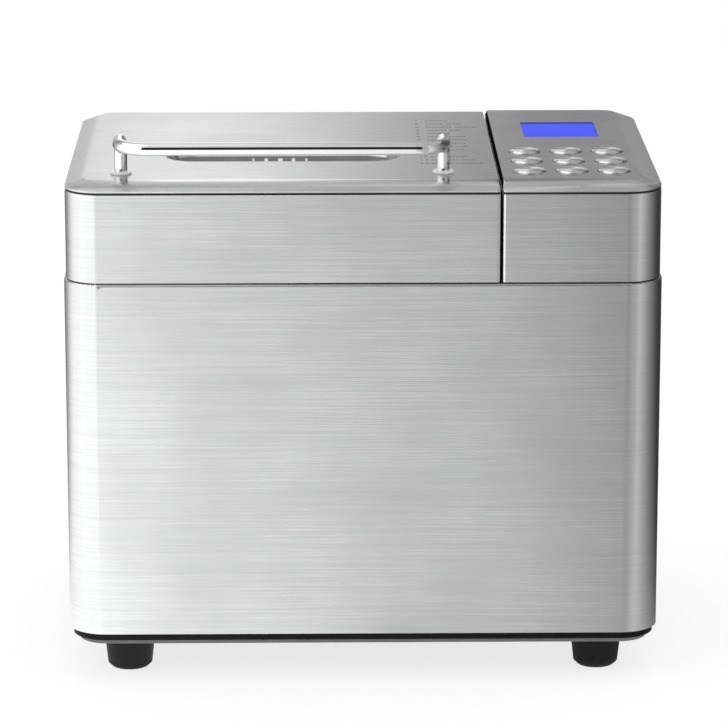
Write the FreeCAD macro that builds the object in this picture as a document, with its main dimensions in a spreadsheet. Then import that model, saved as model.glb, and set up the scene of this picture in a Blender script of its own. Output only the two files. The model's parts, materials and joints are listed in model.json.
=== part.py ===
import FreeCAD, Part
import math
import os
import re
import Sketcher
from FreeCAD import Vector

# Driving sizes in millimetres: name, value, meaning
SIZES = (
    ("body_width", 370, "outer width of the steel shell"),
    ("body_depth", 264, "outer depth of the steel shell"),
    ("body_corner", 24, "plan radius of the shell corners"),
    ("shell_wall", 0.8, "sheet thickness of the shell"),
    ("shell_height", 224, "height of the steel shell"),
    ("shell_flange", 12, "width of the flange turned in at the shell top"),
    ("shell_round", 1.4, "rounding of the shell shoulder"),
    ("vent_width", 3, "width of the back vents"),
    ("vent_height", 40, "height of the back vents"),
    ("vent_drop", 30, "back vents below the deck"),
    ("vent_span", 57, "distance between the first and the last back vent"),
    ("foot_height", 23.4, "height of each foot"),
    ("foot_top", 32, "foot diameter at the bottom plate"),
    ("foot_base", 28, "foot diameter at the floor"),
    ("foot_inset", 37, "foot axis from the side and from the front"),
    ("foot_recess", 12, "diameter of the screw recess in a foot"),
    ("foot_recess_depth", 14, "depth of the screw recess in a foot"),
    ("foot_edge", 2.4, "edge break round the foot bottom"),
    ("foot_collar", 3, "straight collar at the foot top"),
    ("foot_screw", 3.6, "shank diameter of the foot screws"),
    ("foot_screw_head", 8, "head diameter of the foot screws"),
    ("screw_head_height", 2.6, "height of the screw heads"),
    ("screw_break", 0.8, "edge break of the screw heads"),
    ("foot_screw_reach", 2, "foot screw above the tray floor"),
    ("plate_drop", 3.4, "how far the bottom plate stands below the rim"),
    ("plate_inset", 6.5, "bottom plate edge from the shell face"),
    ("plate_wall", 0.9, "sheet thickness of the bottom plate"),
    ("slot_width", 4, "width of the air slots in the bottom plate"),
    ("slot_length", 48, "length of the air slots in the bottom plate"),
    ("slot_span", 111, "distance between the first and the last air slot"),
    ("rim_height", 4.6, "height of the black rim under the shell"),
    ("rim_inset", 2.4, "rim face behind the shell face"),
    ("tray_wall", 3, "wall of the base tray inside the shell"),
    ("tray_height", 16, "height of the tray wall inside the shell"),
    ("well_margin", 12, "tray opening outside the large pulley"),
    ("well_corner", 20, "corner radius of the tray opening"),
    ("fit_gap", 0.3, "play between fixed pieces that nest"),
    ("deck_wall", 2.6, "thickness of the top deck"),
    ("mouth_lip", 1, "deck edge inside the chamber mouth"),
    ("duct_margin", 16, "wire opening inside the control head sides"),
    ("duct_depth", 140, "depth of the wire opening in the deck"),
    ("duct_corner", 8, "corner radius of the wire opening"),
    ("upper_inset", 1.25, "upper section face behind the shell face"),
    ("lid_gap", 0.8, "gap between the body and the lid"),
    ("lid_height", 55, "height of the steel bands"),
    ("band_wall", 0.8, "sheet thickness of the bands"),
    ("cap_gap", 1.4, "seam between a band and its cap"),
    ("cap_rise", 5.4, "height of a cap"),
    ("cap_lip", 1.0, "upright edge of a cap"),
    ("cap_wall", 1.0, "sheet thickness of a cap"),
    ("bevel_width", 12, "width of the bevel round a cap"),
    ("split_gap", 1.3, "gap between the lid and the control head"),
    ("split_round", 2, "corner radius beside the split"),
    ("split_bevel", 0.8, "edge break of the caps beside the split"),
    ("control_width", 98.6, "width of the control head"),
    ("lid_back_inset", 5, "lid back face in front of the control head back"),
    ("liner_wall", 2, "wall of the plastic lid liner and control frame"),
    ("frame_wall", 3, "thickness of the lid liner frame"),
    ("cavity_drop", 8, "lid cavity below the band top"),
    ("hinge_inset", 11.5, "hinge axis in front of the lid back face"),
    ("hinge_rise", 12.5, "hinge axis above the deck"),
    ("hinge_trim", 2, "lid back edge below the hinge axis"),
    ("hinge_spacing", 176, "distance between the two hinges"),
    ("hinge_pin", 4, "diameter of the hinge pins"),
    ("hinge_eye", 13, "outer diameter of the hinge eyes"),
    ("hinge_setback", 8, "hinge foot in front of the hinge axis"),
    ("hinge_foot", 10, "length of a hinge bracket foot"),
    ("hinge_shoulder", 6, "shoulder of a hinge bracket in front of the axis"),
    ("hinge_floor", 2, "floor of a hinge bracket"),
    ("pin_end", 0.6, "hinge pin beyond its bracket"),
    ("notch_gap", 1.5, "play round a hinge bracket in the lid frame"),
    ("knuckle_width", 12, "width of a lid knuckle"),
    ("knuckle_gap", 0.5, "side play of a lid knuckle"),
    ("ear_wall", 4, "thickness of a hinge bracket ear"),
    ("running_gap", 0.04, "radial play of a turning pin or shaft"),
    ("press_gap", 0.02, "radial play of a pressed piece"),
    ("gasket_inset", 1, "seal from the chamber mouth"),
    ("gasket_width", 4, "width of the seal"),
    ("seal_gap", 1.25, "seal from the hinge bracket feet"),
    ("chamber_side", 20, "chamber wall from the lid side faces"),
    ("chamber_depth", 180, "inner depth of the baking chamber"),
    ("chamber_corner", 18, "corner radius of the baking chamber"),
    ("chamber_wall", 0.6, "sheet thickness of the baking chamber"),
    ("chamber_height", 158, "inner height of the baking chamber"),
    ("chamber_flange", 8, "width of the chamber flange under the deck"),
    ("reflector_rise", 1, "reflector edge above the lid underside"),
    ("reflector_lap", 6, "reflector lap under the inner window"),
    ("pan_end_gap", 16, "pan end wall from the chamber wall"),
    ("pan_side_gap", 21, "pan long wall from the chamber wall"),
    ("pan_draft", 6, "how far each pan wall leans in at the bottom"),
    ("pan_height", 120, "height of the bread pan"),
    ("pan_wall", 1.5, "wall of the bread pan"),
    ("pan_corner", 22, "corner radius of the bread pan"),
    ("pan_rim", 3.5, "width of the pan rim"),
    ("pan_rim_wall", 2, "thickness of the pan rim"),
    ("pan_foot", 16, "height of the pan base"),
    ("pan_foot_length", 124, "length of the pan base"),
    ("pan_foot_depth", 88, "depth of the pan base"),
    ("pan_foot_wall", 2.5, "wall of the pan base"),
    ("pan_foot_corner", 20, "corner radius of the pan base"),
    ("pan_floor_round", 7, "rounding of the pan floor"),
    ("pan_bearing_size", 20, "diameter of the pan bearing"),
    ("pan_bearing_flange", 4, "flange of the pan bearing"),
    ("pan_bearing_rise", 3.5, "pan bearing above the pan floor"),
    ("bail_wire", 5, "wire diameter of the pan handle"),
    ("bail_drop", 9, "pan handle axis below the pan rim"),
    ("bail_ear", 5.5, "thickness of the ears that hold the pan handle"),
    ("ear_half", 8, "half width of the pan handle ears"),
    ("ear_below", 7, "pan handle ears below the handle axis"),
    ("ear_corner", 5, "corner radius of the pan handle ears"),
    ("ear_root", 4, "pan handle ears inside the rim"),
    ("bail_end", 0.6, "pan handle end outside the pan wall"),
    ("rest_gap", 0.3, "gap under a moving piece that rests on another"),
    ("paddle_shaft", 8, "diameter of the pan shaft and the drive shaft"),
    ("paddle_reach", 42, "radius swept by the kneading paddle"),
    ("paddle_height", 34, "height of the kneading paddle"),
    ("paddle_wall", 5, "thickness of the paddle blade"),
    ("paddle_hub", 6, "wall of the paddle hub"),
    ("paddle_lift", 0.7, "paddle above the pan bearing"),
    ("paddle_bore", 24, "depth of the paddle bore"),
    ("shaft_rise", 27, "pan shaft above the pan floor"),
    ("shaft_break", 0.8, "edge break of the shaft ends"),
    ("coupler_rise", 7, "pan coupler above the chamber floor"),
    ("coupler_height", 5, "height of the pan coupler"),
    ("coupler_hub", 3, "wall of the coupler hub"),
    ("dog_rise", 2, "drive dog above the chamber floor"),
    ("dog_wall", 4, "thickness of the drive dog"),
    ("prong_wall", 5, "thickness of the drive dog prongs"),
    ("wing_half", 4, "half width of the coupler wings"),
    ("wing_reach", 16, "radius of the coupler wings"),
    ("clip_wall", 0.9, "sheet thickness of the pan clips"),
    ("clip_width", 18, "width of the pan clips"),
    ("clip_foot", 14, "length of the pan clip feet"),
    ("clip_flare", 3, "flare of the pan clips"),
    ("clip_bend", 6, "pan clip bend below the pan"),
    ("sensor_probe", 3, "radius of the temperature probe"),
    ("sensor_rise", 70, "temperature probe above the chamber floor"),
    ("sensor_y", 46, "temperature probe behind the chamber middle"),
    ("sensor_flange", 3, "flange of the temperature probe"),
    ("sensor_tail", 12, "temperature probe behind the chamber wall"),
    ("sensor_gap", 4, "temperature probe from the pan"),
    ("bearing_boss", 12, "outer radius of the bearing boss"),
    ("bearing_flange", 32, "radius of the bearing flange"),
    ("bearing_wall", 4, "thickness of the bearing flange"),
    ("bearing_rise", 1.2, "bearing boss above the chamber floor"),
    ("bearing_screw", 2.2, "radius of the bearing screw holes"),
    ("bearing_edge", 6, "bearing screw holes from the flange edge"),
    ("bearing_height", 28, "depth of the bearing under the chamber"),
    ("bush_radius", 7, "outer radius of the shaft bushes"),
    ("bush_length", 9, "length of a shaft bush"),
    ("heater_tube", 6.5, "diameter of the heating element"),
    ("heater_inset", 9.5, "heating element axis from the chamber wall"),
    ("heater_rise", 26, "heating element axis above the chamber floor"),
    ("terminal_half", 16, "half spacing of the heating element ends"),
    ("terminal_reach", 20, "heating element ends behind the chamber wall"),
    ("hook_wall", 1.2, "sheet thickness of the heating element hooks"),
    ("hook_width", 10, "width of the heating element hooks"),
    ("hook_height", 9, "height of the heating element hooks"),
    ("hook_lip", 4, "heating element hooks beyond the tube axis"),
    ("drive_radius", 50, "outer radius of the large pulley"),
    ("motor_radius", 9, "outer radius of the motor pulley"),
    ("pulley_width", 14, "width of both pulleys"),
    ("pulley_rise", 12, "pulley underside above the tray floor"),
    ("groove_depth", 1.6, "depth of the pulley grooves"),
    ("rim_land", 1.5, "plain edge beside the pulley grooves"),
    ("pulley_hub", 7, "wall of the pulley hub"),
    ("pulley_rim_wall", 7, "wall of the pulley rim"),
    ("web_wall", 4, "thickness of the pulley web"),
    ("web_hole", 10, "radius of the holes in the pulley web"),
    ("shaft_tail", 2, "shaft ends below the pulleys"),
    ("belt_wall", 2.4, "thickness of the drive belt"),
    ("belt_width", 10, "width of the drive belt"),
    ("belt_gap", 0.3, "play between the belt and the pulleys"),
    ("motor_shaft_size", 6, "diameter of the motor shaft"),
    ("motor_body", 72, "diameter of the motor"),
    ("motor_height", 64, "height of the motor"),
    ("motor_boss", 10, "radius of the motor bearing bosses"),
    ("motor_boss_rise", 4, "length of the motor bearing bosses"),
    ("motor_round", 8, "rounding of the motor case ends"),
    ("motor_tail", 7, "motor shaft above the motor case"),
    ("stack_edge", 2, "motor stack beyond the motor case"),
    ("stack_wall", 4, "wall of the motor stack"),
    ("stack_corner", 12, "corner radius of the motor stack"),
    ("bracket_rise", 40, "motor bracket plate above the tray floor"),
    ("bracket_wall", 2, "sheet thickness of the motor bracket"),
    ("bracket_clear", 14, "motor bracket legs from the motor case"),
    ("bracket_foot", 10, "length of the motor bracket feet"),
    ("bracket_edge", 4, "motor bracket plate beyond the motor case"),
    ("motor_offset", 2, "motor axis left of the control head middle"),
    ("power_board_width", 80, "width of the power board"),
    ("power_board_depth", 42, "depth of the power board"),
    ("power_board_gap", 11, "power board from the back wall"),
    ("board_rise", 10, "power board above the tray floor"),
    ("board_wall", 1.6, "thickness of the circuit boards"),
    ("board_post", 3.5, "radius of the power board posts"),
    ("board_edge", 6, "power board posts from the board edge"),
    ("relay_width", 19, "width of the relay"),
    ("relay_height", 16, "height and depth of the relay"),
    ("terminal_width", 12, "width of the terminal block"),
    ("terminal_depth", 22, "depth of the terminal block"),
    ("terminal_height", 11, "height of the terminal block"),
    ("capacitor_width", 30, "width of the motor capacitor"),
    ("capacitor_depth", 18, "depth of the motor capacitor"),
    ("capacitor_height", 26, "height of the motor capacitor"),
    ("can_radius", 5, "radius of the round capacitors"),
    ("can_height", 14, "height of the round capacitors"),
    ("handle_tube", 8, "tube diameter of the lid handle"),
    ("handle_spacing", 199, "distance between the handle posts"),
    ("handle_inset", 34, "handle posts behind the front face of the lid"),
    ("handle_rise", 22.5, "handle axis above the lid top"),
    ("handle_elbow", 10, "radius of the handle elbows"),
    ("handle_arc", 18, "radius of the handle arcs seen from above"),
    ("handle_screw", 4, "shank diameter of the handle screws"),
    ("handle_screw_head", 8.8, "head diameter of the handle screws"),
    ("handle_screw_reach", 10, "handle screws above the collars"),
    ("bore_end", 1, "handle bore beyond the screw end"),
    ("handle_overhang", 6, "handle front before the shell front face"),
    ("collar_size", 13.2, "diameter of the handle collars"),
    ("collar_height", 1.8, "height of the handle collars"),
    ("collar_edge", 0.4, "edge break of the handle collars"),
    ("window_length", 149, "length of the window recess"),
    ("window_depth", 50, "depth of the window recess"),
    ("window_corner", 20, "corner radius of the window recess"),
    ("window_inset", 72, "window recess behind the front face of the lid"),
    ("window_slope", 6, "width of the sloped window frame"),
    ("window_drop", 5, "window glass below the lid top"),
    ("glass_wall", 2, "thickness of the window glass"),
    ("window_seat", 2, "glass edge under the sloped frame"),
    ("window_ledge", 4, "window frame flange under the cap"),
    ("window_floor", 1.5, "window frame under the glass"),
    ("window_edge", 0.5, "flat edge round the window frame"),
    ("window_sight", 1, "window frame ledge inside the glass edge"),
    ("pane_side", 8, "inner window shorter than the recess at each end"),
    ("pane_front", 2, "inner window shallower than the recess at each side"),
    ("lcd_width", 48, "width of the display window"),
    ("lcd_depth", 51, "depth of the display window"),
    ("lcd_inset", 153, "display window behind the front face"),
    ("lcd_sink", 0.5, "display window below the cap top"),
    ("lcd_corner", 1.5, "corner radius of the display window"),
    ("lens_flange", 1, "thickness of the display window flange"),
    ("lens_lap", 2, "display window flange under the cap"),
    ("control_offset", 4.6, "controls left of the control head middle"),
    ("button_size", 19.4, "diameter of the buttons"),
    ("button_gap", 0.5, "play round a button in the cap"),
    ("button_rise", 1.5, "button top above the cap top"),
    ("button_column", 26.3, "distance between the button columns"),
    ("button_row", 32, "distance between the button rows"),
    ("button_inset", 39, "front button row behind the front face"),
    ("button_travel", 1.2, "travel of a button"),
    ("button_stem", 8, "diameter of the button stems"),
    ("button_collar", 1.4, "button collar beyond the button"),
    ("button_collar_wall", 2.2, "thickness of the button collar"),
    ("button_break", 0.8, "edge break of a button"),
    ("button_land", 0.8, "flat ring round a button top"),
    ("button_crown", 0.3, "height of the domed button top"),
    ("stem_gap", 0.08, "radial play of a button stem"),
    ("sleeve_wall", 2.2, "wall of the button sleeves"),
    ("sleeve_height", 8, "height of the button sleeves"),
    ("panel_drop", 15, "inner panel below the cap top"),
    ("panel_wall", 3, "thickness of the inner panel"),
    ("panel_post", 3, "radius of the control board posts"),
    ("panel_post_inset", 5, "control board posts from the board edge"),
    ("board_drop", 6, "control board below the inner panel"),
    ("board_side", 12, "control board from the control head sides"),
    ("board_reach", 16, "control board in front of the front buttons"),
    ("ribbon_half", 14, "half width of the ribbon cable slot"),
    ("ribbon_inset", 18, "ribbon cable slot inside the display"),
    ("display_edge", 2, "display module beyond the display window"),
    ("switch_size", 6, "side of the key switches"),
    ("switch_height", 3.6, "height of the key switches"),
    ("plunger_size", 3.4, "diameter of the switch plungers"),
    ("plunger_height", 1.4, "height of the switch plungers"),
    ("plunger_gap", 0.4, "play above the switch plunger when a button is down"),
    ("gland_length", 6, "how far the cord gland stands out at the back"),
    ("gland_size", 20, "diameter of the cord gland flange"),
    ("gland_height", 34, "cord gland above the rim"),
    ("gland_step", 2.5, "gland flange beyond the wall hole"),
    ("gland_nut", 3, "thickness of the gland inside the wall"),
    ("gland_lip", 2, "straight edge of the gland"),
    ("gland_taper", 3, "taper of the gland"),
    ("cord_width", 8.4, "width of the cord hole"),
    ("cord_height", 5.2, "height of the cord hole"),
)

# Places worked out from the driving sizes
DERIVED = {
    "half_width": "body_width / 2",
    "half_depth": "body_depth / 2",
    "rim_z": "foot_height + plate_drop",
    "shell_z": "rim_z + rim_height",
    "deck_z": "shell_z + shell_height",
    "flange_z": "deck_z - shell_wall",
    "slab_z": "flange_z - deck_wall",
    "lid_z": "deck_z + lid_gap",
    "band_top": "lid_z + lid_height",
    "cap_z": "band_top + cap_gap",
    "cap_top": "cap_z + cap_rise",
    "cap_under": "cap_top - cap_wall",
    "foot_x": "half_width - foot_inset",
    "foot_y": "half_depth - foot_inset",
    "upper_x": "half_width - upper_inset",
    "upper_y": "half_depth - upper_inset",
    "upper_corner": "body_corner - upper_inset",
    "control_left": "upper_x - control_width",
    "lid_right": "control_left - split_gap",
    "lid_back": "upper_y - lid_back_inset",
    "lid_x": "(lid_right - upper_x) / 2",
    "hinge_y": "lid_back - hinge_inset",
    "hinge_z": "deck_z + hinge_rise",
    "trim_z": "hinge_z - hinge_trim",
    "chamber_x": "(lid_right + upper_x) / 2 - chamber_side",
    "chamber_y": "chamber_depth / 2",
    "chamber_back": "hinge_y - hinge_setback - hinge_foot - seal_gap - gasket_width - gasket_inset",
    "chamber_front": "chamber_back - chamber_depth",
    "chamber_mid": "chamber_back - chamber_y",
    "chamber_floor": "slab_z - chamber_height",
    "cavity_top": "band_top - cavity_drop",
    "pan_x": "chamber_x - pan_end_gap",
    "pan_y": "chamber_y - pan_side_gap",
    "pan_z": "chamber_floor + pan_foot",
    "pan_top": "pan_z + pan_height",
    "bail_z": "pan_top - bail_drop",
    "bail_lift": "bail_drop + bail_wire / 2 + rest_gap",
    "bail_reach": "pan_y + pan_rim / 2",
    "bail_bend": "0.8 * bail_wire",
    "bail_x": "pan_x + bail_ear + bail_bend + rest_gap",
    "shaft_radius": "paddle_shaft / 2",
    "heater_z": "chamber_floor + heater_rise",
    "pulley_z": "shell_z + pulley_rise",
    "bracket_z": "shell_z + bracket_rise",
    "motor_x": "upper_x - control_width / 2 - motor_offset",
    "motor_z": "bracket_z + bracket_wall",
    "motor_shaft_radius": "motor_shaft_size / 2",
    "handle_y": "handle_inset - upper_y",
    "handle_z": "cap_top + handle_rise",
    "handle_front": "handle_tube / 2 - half_depth - handle_overhang",
    "window_front": "window_inset - upper_y",
    "glass_top": "cap_top - window_drop",
    "glass_under": "glass_top - glass_wall",
    "pane_x": "window_length / 2 - pane_side",
    "pane_y": "window_depth / 2 - pane_front",
    "pane_corner": "window_corner - window_slope",
    "pane_middle": "window_front + window_depth / 2",
    "control_x": "upper_x - control_width / 2 - control_offset",
    "lcd_front": "lcd_inset - upper_y",
    "button_y": "button_inset - upper_y",
    "panel_top": "cap_top - panel_drop",
    "panel_under": "panel_top - panel_wall",
    "board_top": "panel_under - board_drop",
    "stem_end": "board_top + switch_height + plunger_height + plunger_gap + button_travel",
    "board_half": "control_width / 2 - board_side",
    "board_front": "button_y - board_reach",
    "board_back": "lcd_front + lcd_depth",
    "lens_under": "cap_under - fit_gap - lens_flange",
    "sensor_z": "chamber_floor + sensor_rise",
    "gland_x": "upper_x - control_width / 2",
    "gland_z": "rim_z + gland_height",
    "board_x": "motor_x",
    "board_y": "half_depth - power_board_gap - power_board_depth / 2",
    "post_x": "power_board_width / 2 - board_edge",
    "post_y": "power_board_depth / 2 - board_edge",
    "well_half": "drive_radius + well_margin",
    "wall_hole": "gland_size / 2 - gland_step",
    "reflector_z": "lid_z + reflector_rise",
    "paddle_z": "pan_z + pan_wall + pan_bearing_rise + paddle_lift",
}

ALIASES = {row[0] for row in SIZES}
WORD = re.compile(r"[A-Za-z_][A-Za-z_0-9]*")

doc = FreeCAD.newDocument("bread_machine")
sheet = doc.addObject("Spreadsheet::Sheet", "Sizes")
for row_number, (alias, value, meaning) in enumerate(SIZES, 1):
    sheet.set(f"A{row_number}", alias)
    sheet.set(f"B{row_number}", str(value))
    sheet.setAlias(f"B{row_number}", alias)
    sheet.set(f"C{row_number}", meaning)
doc.recompute()

NODES = []


# Expressions

def formula(text):
    """Sheet expression for a text written in plain size names."""
    def replace(match):
        word = match.group(0)
        if word in DERIVED:
            return "(" + formula(DERIVED[word]) + ")"
        if word in ALIASES:
            return "Sizes." + word
        return word
    return WORD.sub(replace, str(text))


def number(text):
    """Value of an expression in millimetres or degrees."""
    return float(sheet.evalExpression(formula(text)))


def bind(item, path, text):
    item.setExpression(path, formula(text))


def place(item, x="0", y="0", z="0"):
    for axis, text in zip("xyz", (x, y, z)):
        bind(item, f"Placement.Base.{axis}", text)


def keep(item, label):
    """Name a finished sub-part and list it for export."""
    item.Label = label
    NODES.append((label, item))
    return item


# Sketches

def new_body(name):
    return doc.addObject("PartDesign::Body", "Body_" + name)


def origin_plane(body, role):
    return next(item for item in body.Origin.OriginFeatures if item.Role == role)


def new_sketch(body, role="XY_Plane", offset="0"):
    sketch = body.newObject("Sketcher::SketchObject", body.Name + "_sketch")
    sketch.AttachmentSupport = [(origin_plane(body, role), "")]
    sketch.MapMode = "FlatFace"
    bind(sketch, "AttachmentOffset.Base.z", offset)
    return sketch


def limit(sketch, kind, *arguments, text):
    """Add a dimension to a sketch and bind it to an expression."""
    index = sketch.addConstraint(Sketcher.Constraint(kind, *arguments, number(text)))
    sketch.setExpression(f"Constraints[{index}]", formula(text))


def add_outline(sketch, left, right, front, back, radii):
    """Rectangle with rounded corners: front left, front right, back right, back left."""
    if isinstance(radii, str):
        radii = (radii,) * 4
    x0, x1, y0, y1 = (number(text) for text in (left, right, front, back))
    ra, rb, rc, rd = (number(text) for text in radii)
    first = sketch.GeometryCount

    def line(xa, ya, xb, yb):
        sketch.addGeometry(Part.LineSegment(Vector(xa, ya, 0), Vector(xb, yb, 0)))

    def corner(x, y, radius, start):
        circle = Part.Circle(Vector(x, y, 0), Vector(0, 0, 1), radius)
        sketch.addGeometry(Part.ArcOfCircle(circle, math.radians(start), math.radians(start + 90)))

    line(x0 + ra, y0, x1 - rb, y0)
    corner(x1 - rb, y0 + rb, rb, -90)
    line(x1, y0 + rb, x1, y1 - rc)
    corner(x1 - rc, y1 - rc, rc, 0)
    line(x1 - rc, y1, x0 + rd, y1)
    corner(x0 + rd, y1 - rd, rd, 90)
    line(x0, y1 - rd, x0, y0 + ra)
    corner(x0 + ra, y0 + ra, ra, 180)
    for step in range(8):
        sketch.addConstraint(Sketcher.Constraint("Tangent", first + step, 2, first + (step + 1) % 8, 1))
    for step, kind in ((0, "Horizontal"), (2, "Vertical"), (4, "Horizontal"), (6, "Vertical")):
        sketch.addConstraint(Sketcher.Constraint(kind, first + step))
    limit(sketch, "DistanceX", -1, 1, first + 6, 1, text=left)
    limit(sketch, "DistanceX", -1, 1, first + 2, 1, text=right)
    limit(sketch, "DistanceY", -1, 1, first, 1, text=front)
    limit(sketch, "DistanceY", -1, 1, first + 4, 1, text=back)
    for step, text in zip((7, 1, 3, 5), radii):
        limit(sketch, "Radius", first + step, text=text)


def add_polygon(sketch, points):
    """Closed polygon with every corner held by two dimensions."""
    first = sketch.GeometryCount
    places = [Vector(number(x), number(y), 0) for x, y in points]
    count = len(places)
    for step in range(count):
        sketch.addGeometry(Part.LineSegment(places[step], places[(step + 1) % count]))
    for step in range(count):
        following = first + (step + 1) % count
        sketch.addConstraint(Sketcher.Constraint("Coincident", first + step, 2, following, 1))
    for step, (x, y) in enumerate(points):
        limit(sketch, "DistanceX", -1, 1, first + step, 1, text=x)
        limit(sketch, "DistanceY", -1, 1, first + step, 1, text=y)


def add_circle(sketch, x, y, radius):
    centre = Vector(number(x), number(y), 0)
    index = sketch.addGeometry(Part.Circle(centre, Vector(0, 0, 1), number(radius)))
    limit(sketch, "DistanceX", -1, 1, index, 3, text=x)
    limit(sketch, "DistanceY", -1, 1, index, 3, text=y)
    limit(sketch, "Radius", index, text=radius)


# Features

def pad(body, sketch, length, reverse=False):
    feature = body.newObject("PartDesign::Pad", body.Name + "_pad")
    feature.Profile = sketch
    feature.Reversed = reverse
    bind(feature, "Length", length)
    return feature


def pocket(body, sketch, length, reverse=False):
    """Cut along the sketch normal downwards, or upwards when reversed."""
    feature = body.newObject("PartDesign::Pocket", body.Name + "_pocket")
    feature.Profile = sketch
    feature.Reversed = reverse
    bind(feature, "Length", length)
    return feature


def revolve(body, sketch, axis="V_Axis"):
    feature = body.newObject("PartDesign::Revolution", body.Name + "_revolution")
    feature.Profile = sketch
    feature.ReferenceAxis = (sketch, [axis])
    feature.Angle = 360
    return feature


def loft(body, lower, upper, cut=False):
    kind = "PartDesign::SubtractiveLoft" if cut else "PartDesign::AdditiveLoft"
    feature = body.newObject(kind, body.Name + "_loft")
    feature.Profile = lower
    feature.Sections = [upper]
    feature.Ruled = True
    return feature


def row(body, feature, sketch, axis, length, count):
    """Repeat a feature along a sketch axis."""
    pattern = body.newObject("PartDesign::LinearPattern", body.Name + "_row")
    pattern.Originals = [feature]
    pattern.Direction = (sketch, [axis])
    bind(pattern, "Length", length)
    pattern.Occurrences = count
    body.Tip = pattern
    return pattern


def pattern_plan(body):
    """Empty plan sketch whose axes steer a pattern."""
    return new_sketch(body)


def grid(body, feature, plan, length, count, length_across, count_across):
    """Repeat a feature along both axes of a plan sketch."""
    pattern = row(body, feature, plan, "H_Axis", length, count)
    pattern.Direction2 = (plan, ["V_Axis"])
    bind(pattern, "Length2", length_across)
    pattern.Occurrences2 = count_across
    return pattern


def ring_of(body, feature, sketch, count):
    """Repeat a feature round the sketch normal."""
    pattern = body.newObject("PartDesign::PolarPattern", body.Name + "_ring")
    pattern.Originals = [feature]
    pattern.Axis = (sketch, ["N_Axis"])
    pattern.Angle = 360
    pattern.Occurrences = count
    body.Tip = pattern
    return pattern


def mirror(body, features, role):
    copy = body.newObject("PartDesign::Mirrored", body.Name + "_mirror")
    copy.Originals = features
    copy.MirrorPlane = (origin_plane(body, role), [""])
    body.Tip = copy
    return copy


def round_edges(body, feature, radius, test):
    """Fillet the edges of a feature whose middle passes a test."""
    doc.recompute()
    names = []
    for index, edge in enumerate(feature.Shape.Edges, 1):
        middle = edge.valueAt((edge.FirstParameter + edge.LastParameter) / 2)
        if test(middle, edge):
            names.append(f"Edge{index}")
    fillet = body.newObject("PartDesign::Fillet", body.Name + "_fillet")
    fillet.Base = (feature, names)
    bind(fillet, "Radius", radius)
    return fillet


def slab(body, z, height, left, right, front, back, radii):
    sketch = new_sketch(body, offset=z)
    add_outline(sketch, left, right, front, back, radii)
    return pad(body, sketch, height)


def centred_slab(body, z, height, x, y, radius):
    return slab(body, z, height, f"-({x})", x, f"-({y})", y, radius)


def hollow(body, z, depth, left, right, front, back, radii, reverse=False):
    sketch = new_sketch(body, offset=z)
    add_outline(sketch, left, right, front, back, radii)
    return pocket(body, sketch, depth, reverse)


def chamber_edges(grow):
    """Left, right, front, back and corner radius of the chamber, moved out by a distance."""
    return (f"lid_x - chamber_x - ({grow})", f"lid_x + chamber_x + ({grow})", f"chamber_front - ({grow})",
            f"chamber_back + ({grow})", f"chamber_corner + ({grow})")


def turned(label, points, x="0", y="0", z="0"):
    """Piece turned about an upright axis from a profile of radius and height."""
    body = new_body(label)
    sketch = new_sketch(body, "XZ_Plane")
    add_polygon(sketch, points)
    revolve(body, sketch)
    place(body, x, y, z)
    return keep(body, label)


def box(name, x, y, z, length, width, height):
    """Plain block, its x and y given at the middle and its z at the underside."""
    item = doc.addObject("Part::Box", name)
    bind(item, "Length", length)
    bind(item, "Width", width)
    bind(item, "Height", height)
    place(item, f"({x}) - ({length}) / 2", f"({y}) - ({width}) / 2", z)
    return item


def cylinder(name, x, y, z, radius, height):
    item = doc.addObject("Part::Cylinder", name)
    bind(item, "Radius", radius)
    bind(item, "Height", height)
    place(item, x, y, z)
    return item


def gather(label, items):
    """Several solids kept apart in one named node."""
    group = doc.addObject("Part::Compound", "Group_" + label)
    group.Links = items
    return keep(group, label)


def unit_step(first, last):
    """Direction from one corner to the next along one axis, with the index of that axis."""
    moves = [number(f"({b}) - ({a})") for a, b in zip(first, last)]
    index = max(range(3), key=lambda axis: abs(moves[axis]))
    direction = Vector(*(math.copysign(1, moves[index]) if axis == index else 0 for axis in range(3)))
    return direction, index


def shifted(corner, direction, distance):
    """Corner moved along a direction by a distance, as three expressions."""
    return [f"({text}) + ({part:g}) * ({distance})" if part else text
            for text, part in zip(corner, direction)]


def bent_tube(label, corners, bends, radius):
    """Round tube along square corners, each corner rounded by its bend."""
    pieces = []
    trims = ("0", *bends, "0")
    steps = [unit_step(first, last) for first, last in zip(corners, corners[1:])]
    for index, (direction, axis) in enumerate(steps):
        piece = doc.addObject("Part::Cylinder", f"Straight_{label}")
        piece.Placement.Rotation = FreeCAD.Rotation(Vector(0, 0, 1), direction)
        bind(piece, "Radius", radius)
        bind(piece, "Height", f"abs(({corners[index + 1][axis]}) - ({corners[index][axis]}))"
                              f" - ({trims[index]}) - ({trims[index + 1]})")
        place(piece, *shifted(corners[index], direction, trims[index]))
        pieces.append(piece)
    for index, bend in enumerate(bends):
        entry = steps[index][0]
        leave = steps[index + 1][0]
        piece = doc.addObject("Part::Torus", f"Bend_{label}")
        piece.Angle3 = 90
        piece.Placement.Rotation = FreeCAD.Rotation(leave * -1, entry, entry.cross(leave), "XYZ")
        bind(piece, "Radius1", bend)
        bind(piece, "Radius2", radius)
        place(piece, *shifted(shifted(corners[index + 1], entry, f"-({bend})"), leave, bend))
        pieces.append(piece)
    tube = doc.addObject("Part::MultiFuse", f"Tube_{label}")
    tube.Shapes = pieces
    tube.Refine = True
    return tube


# Base and shell

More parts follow.
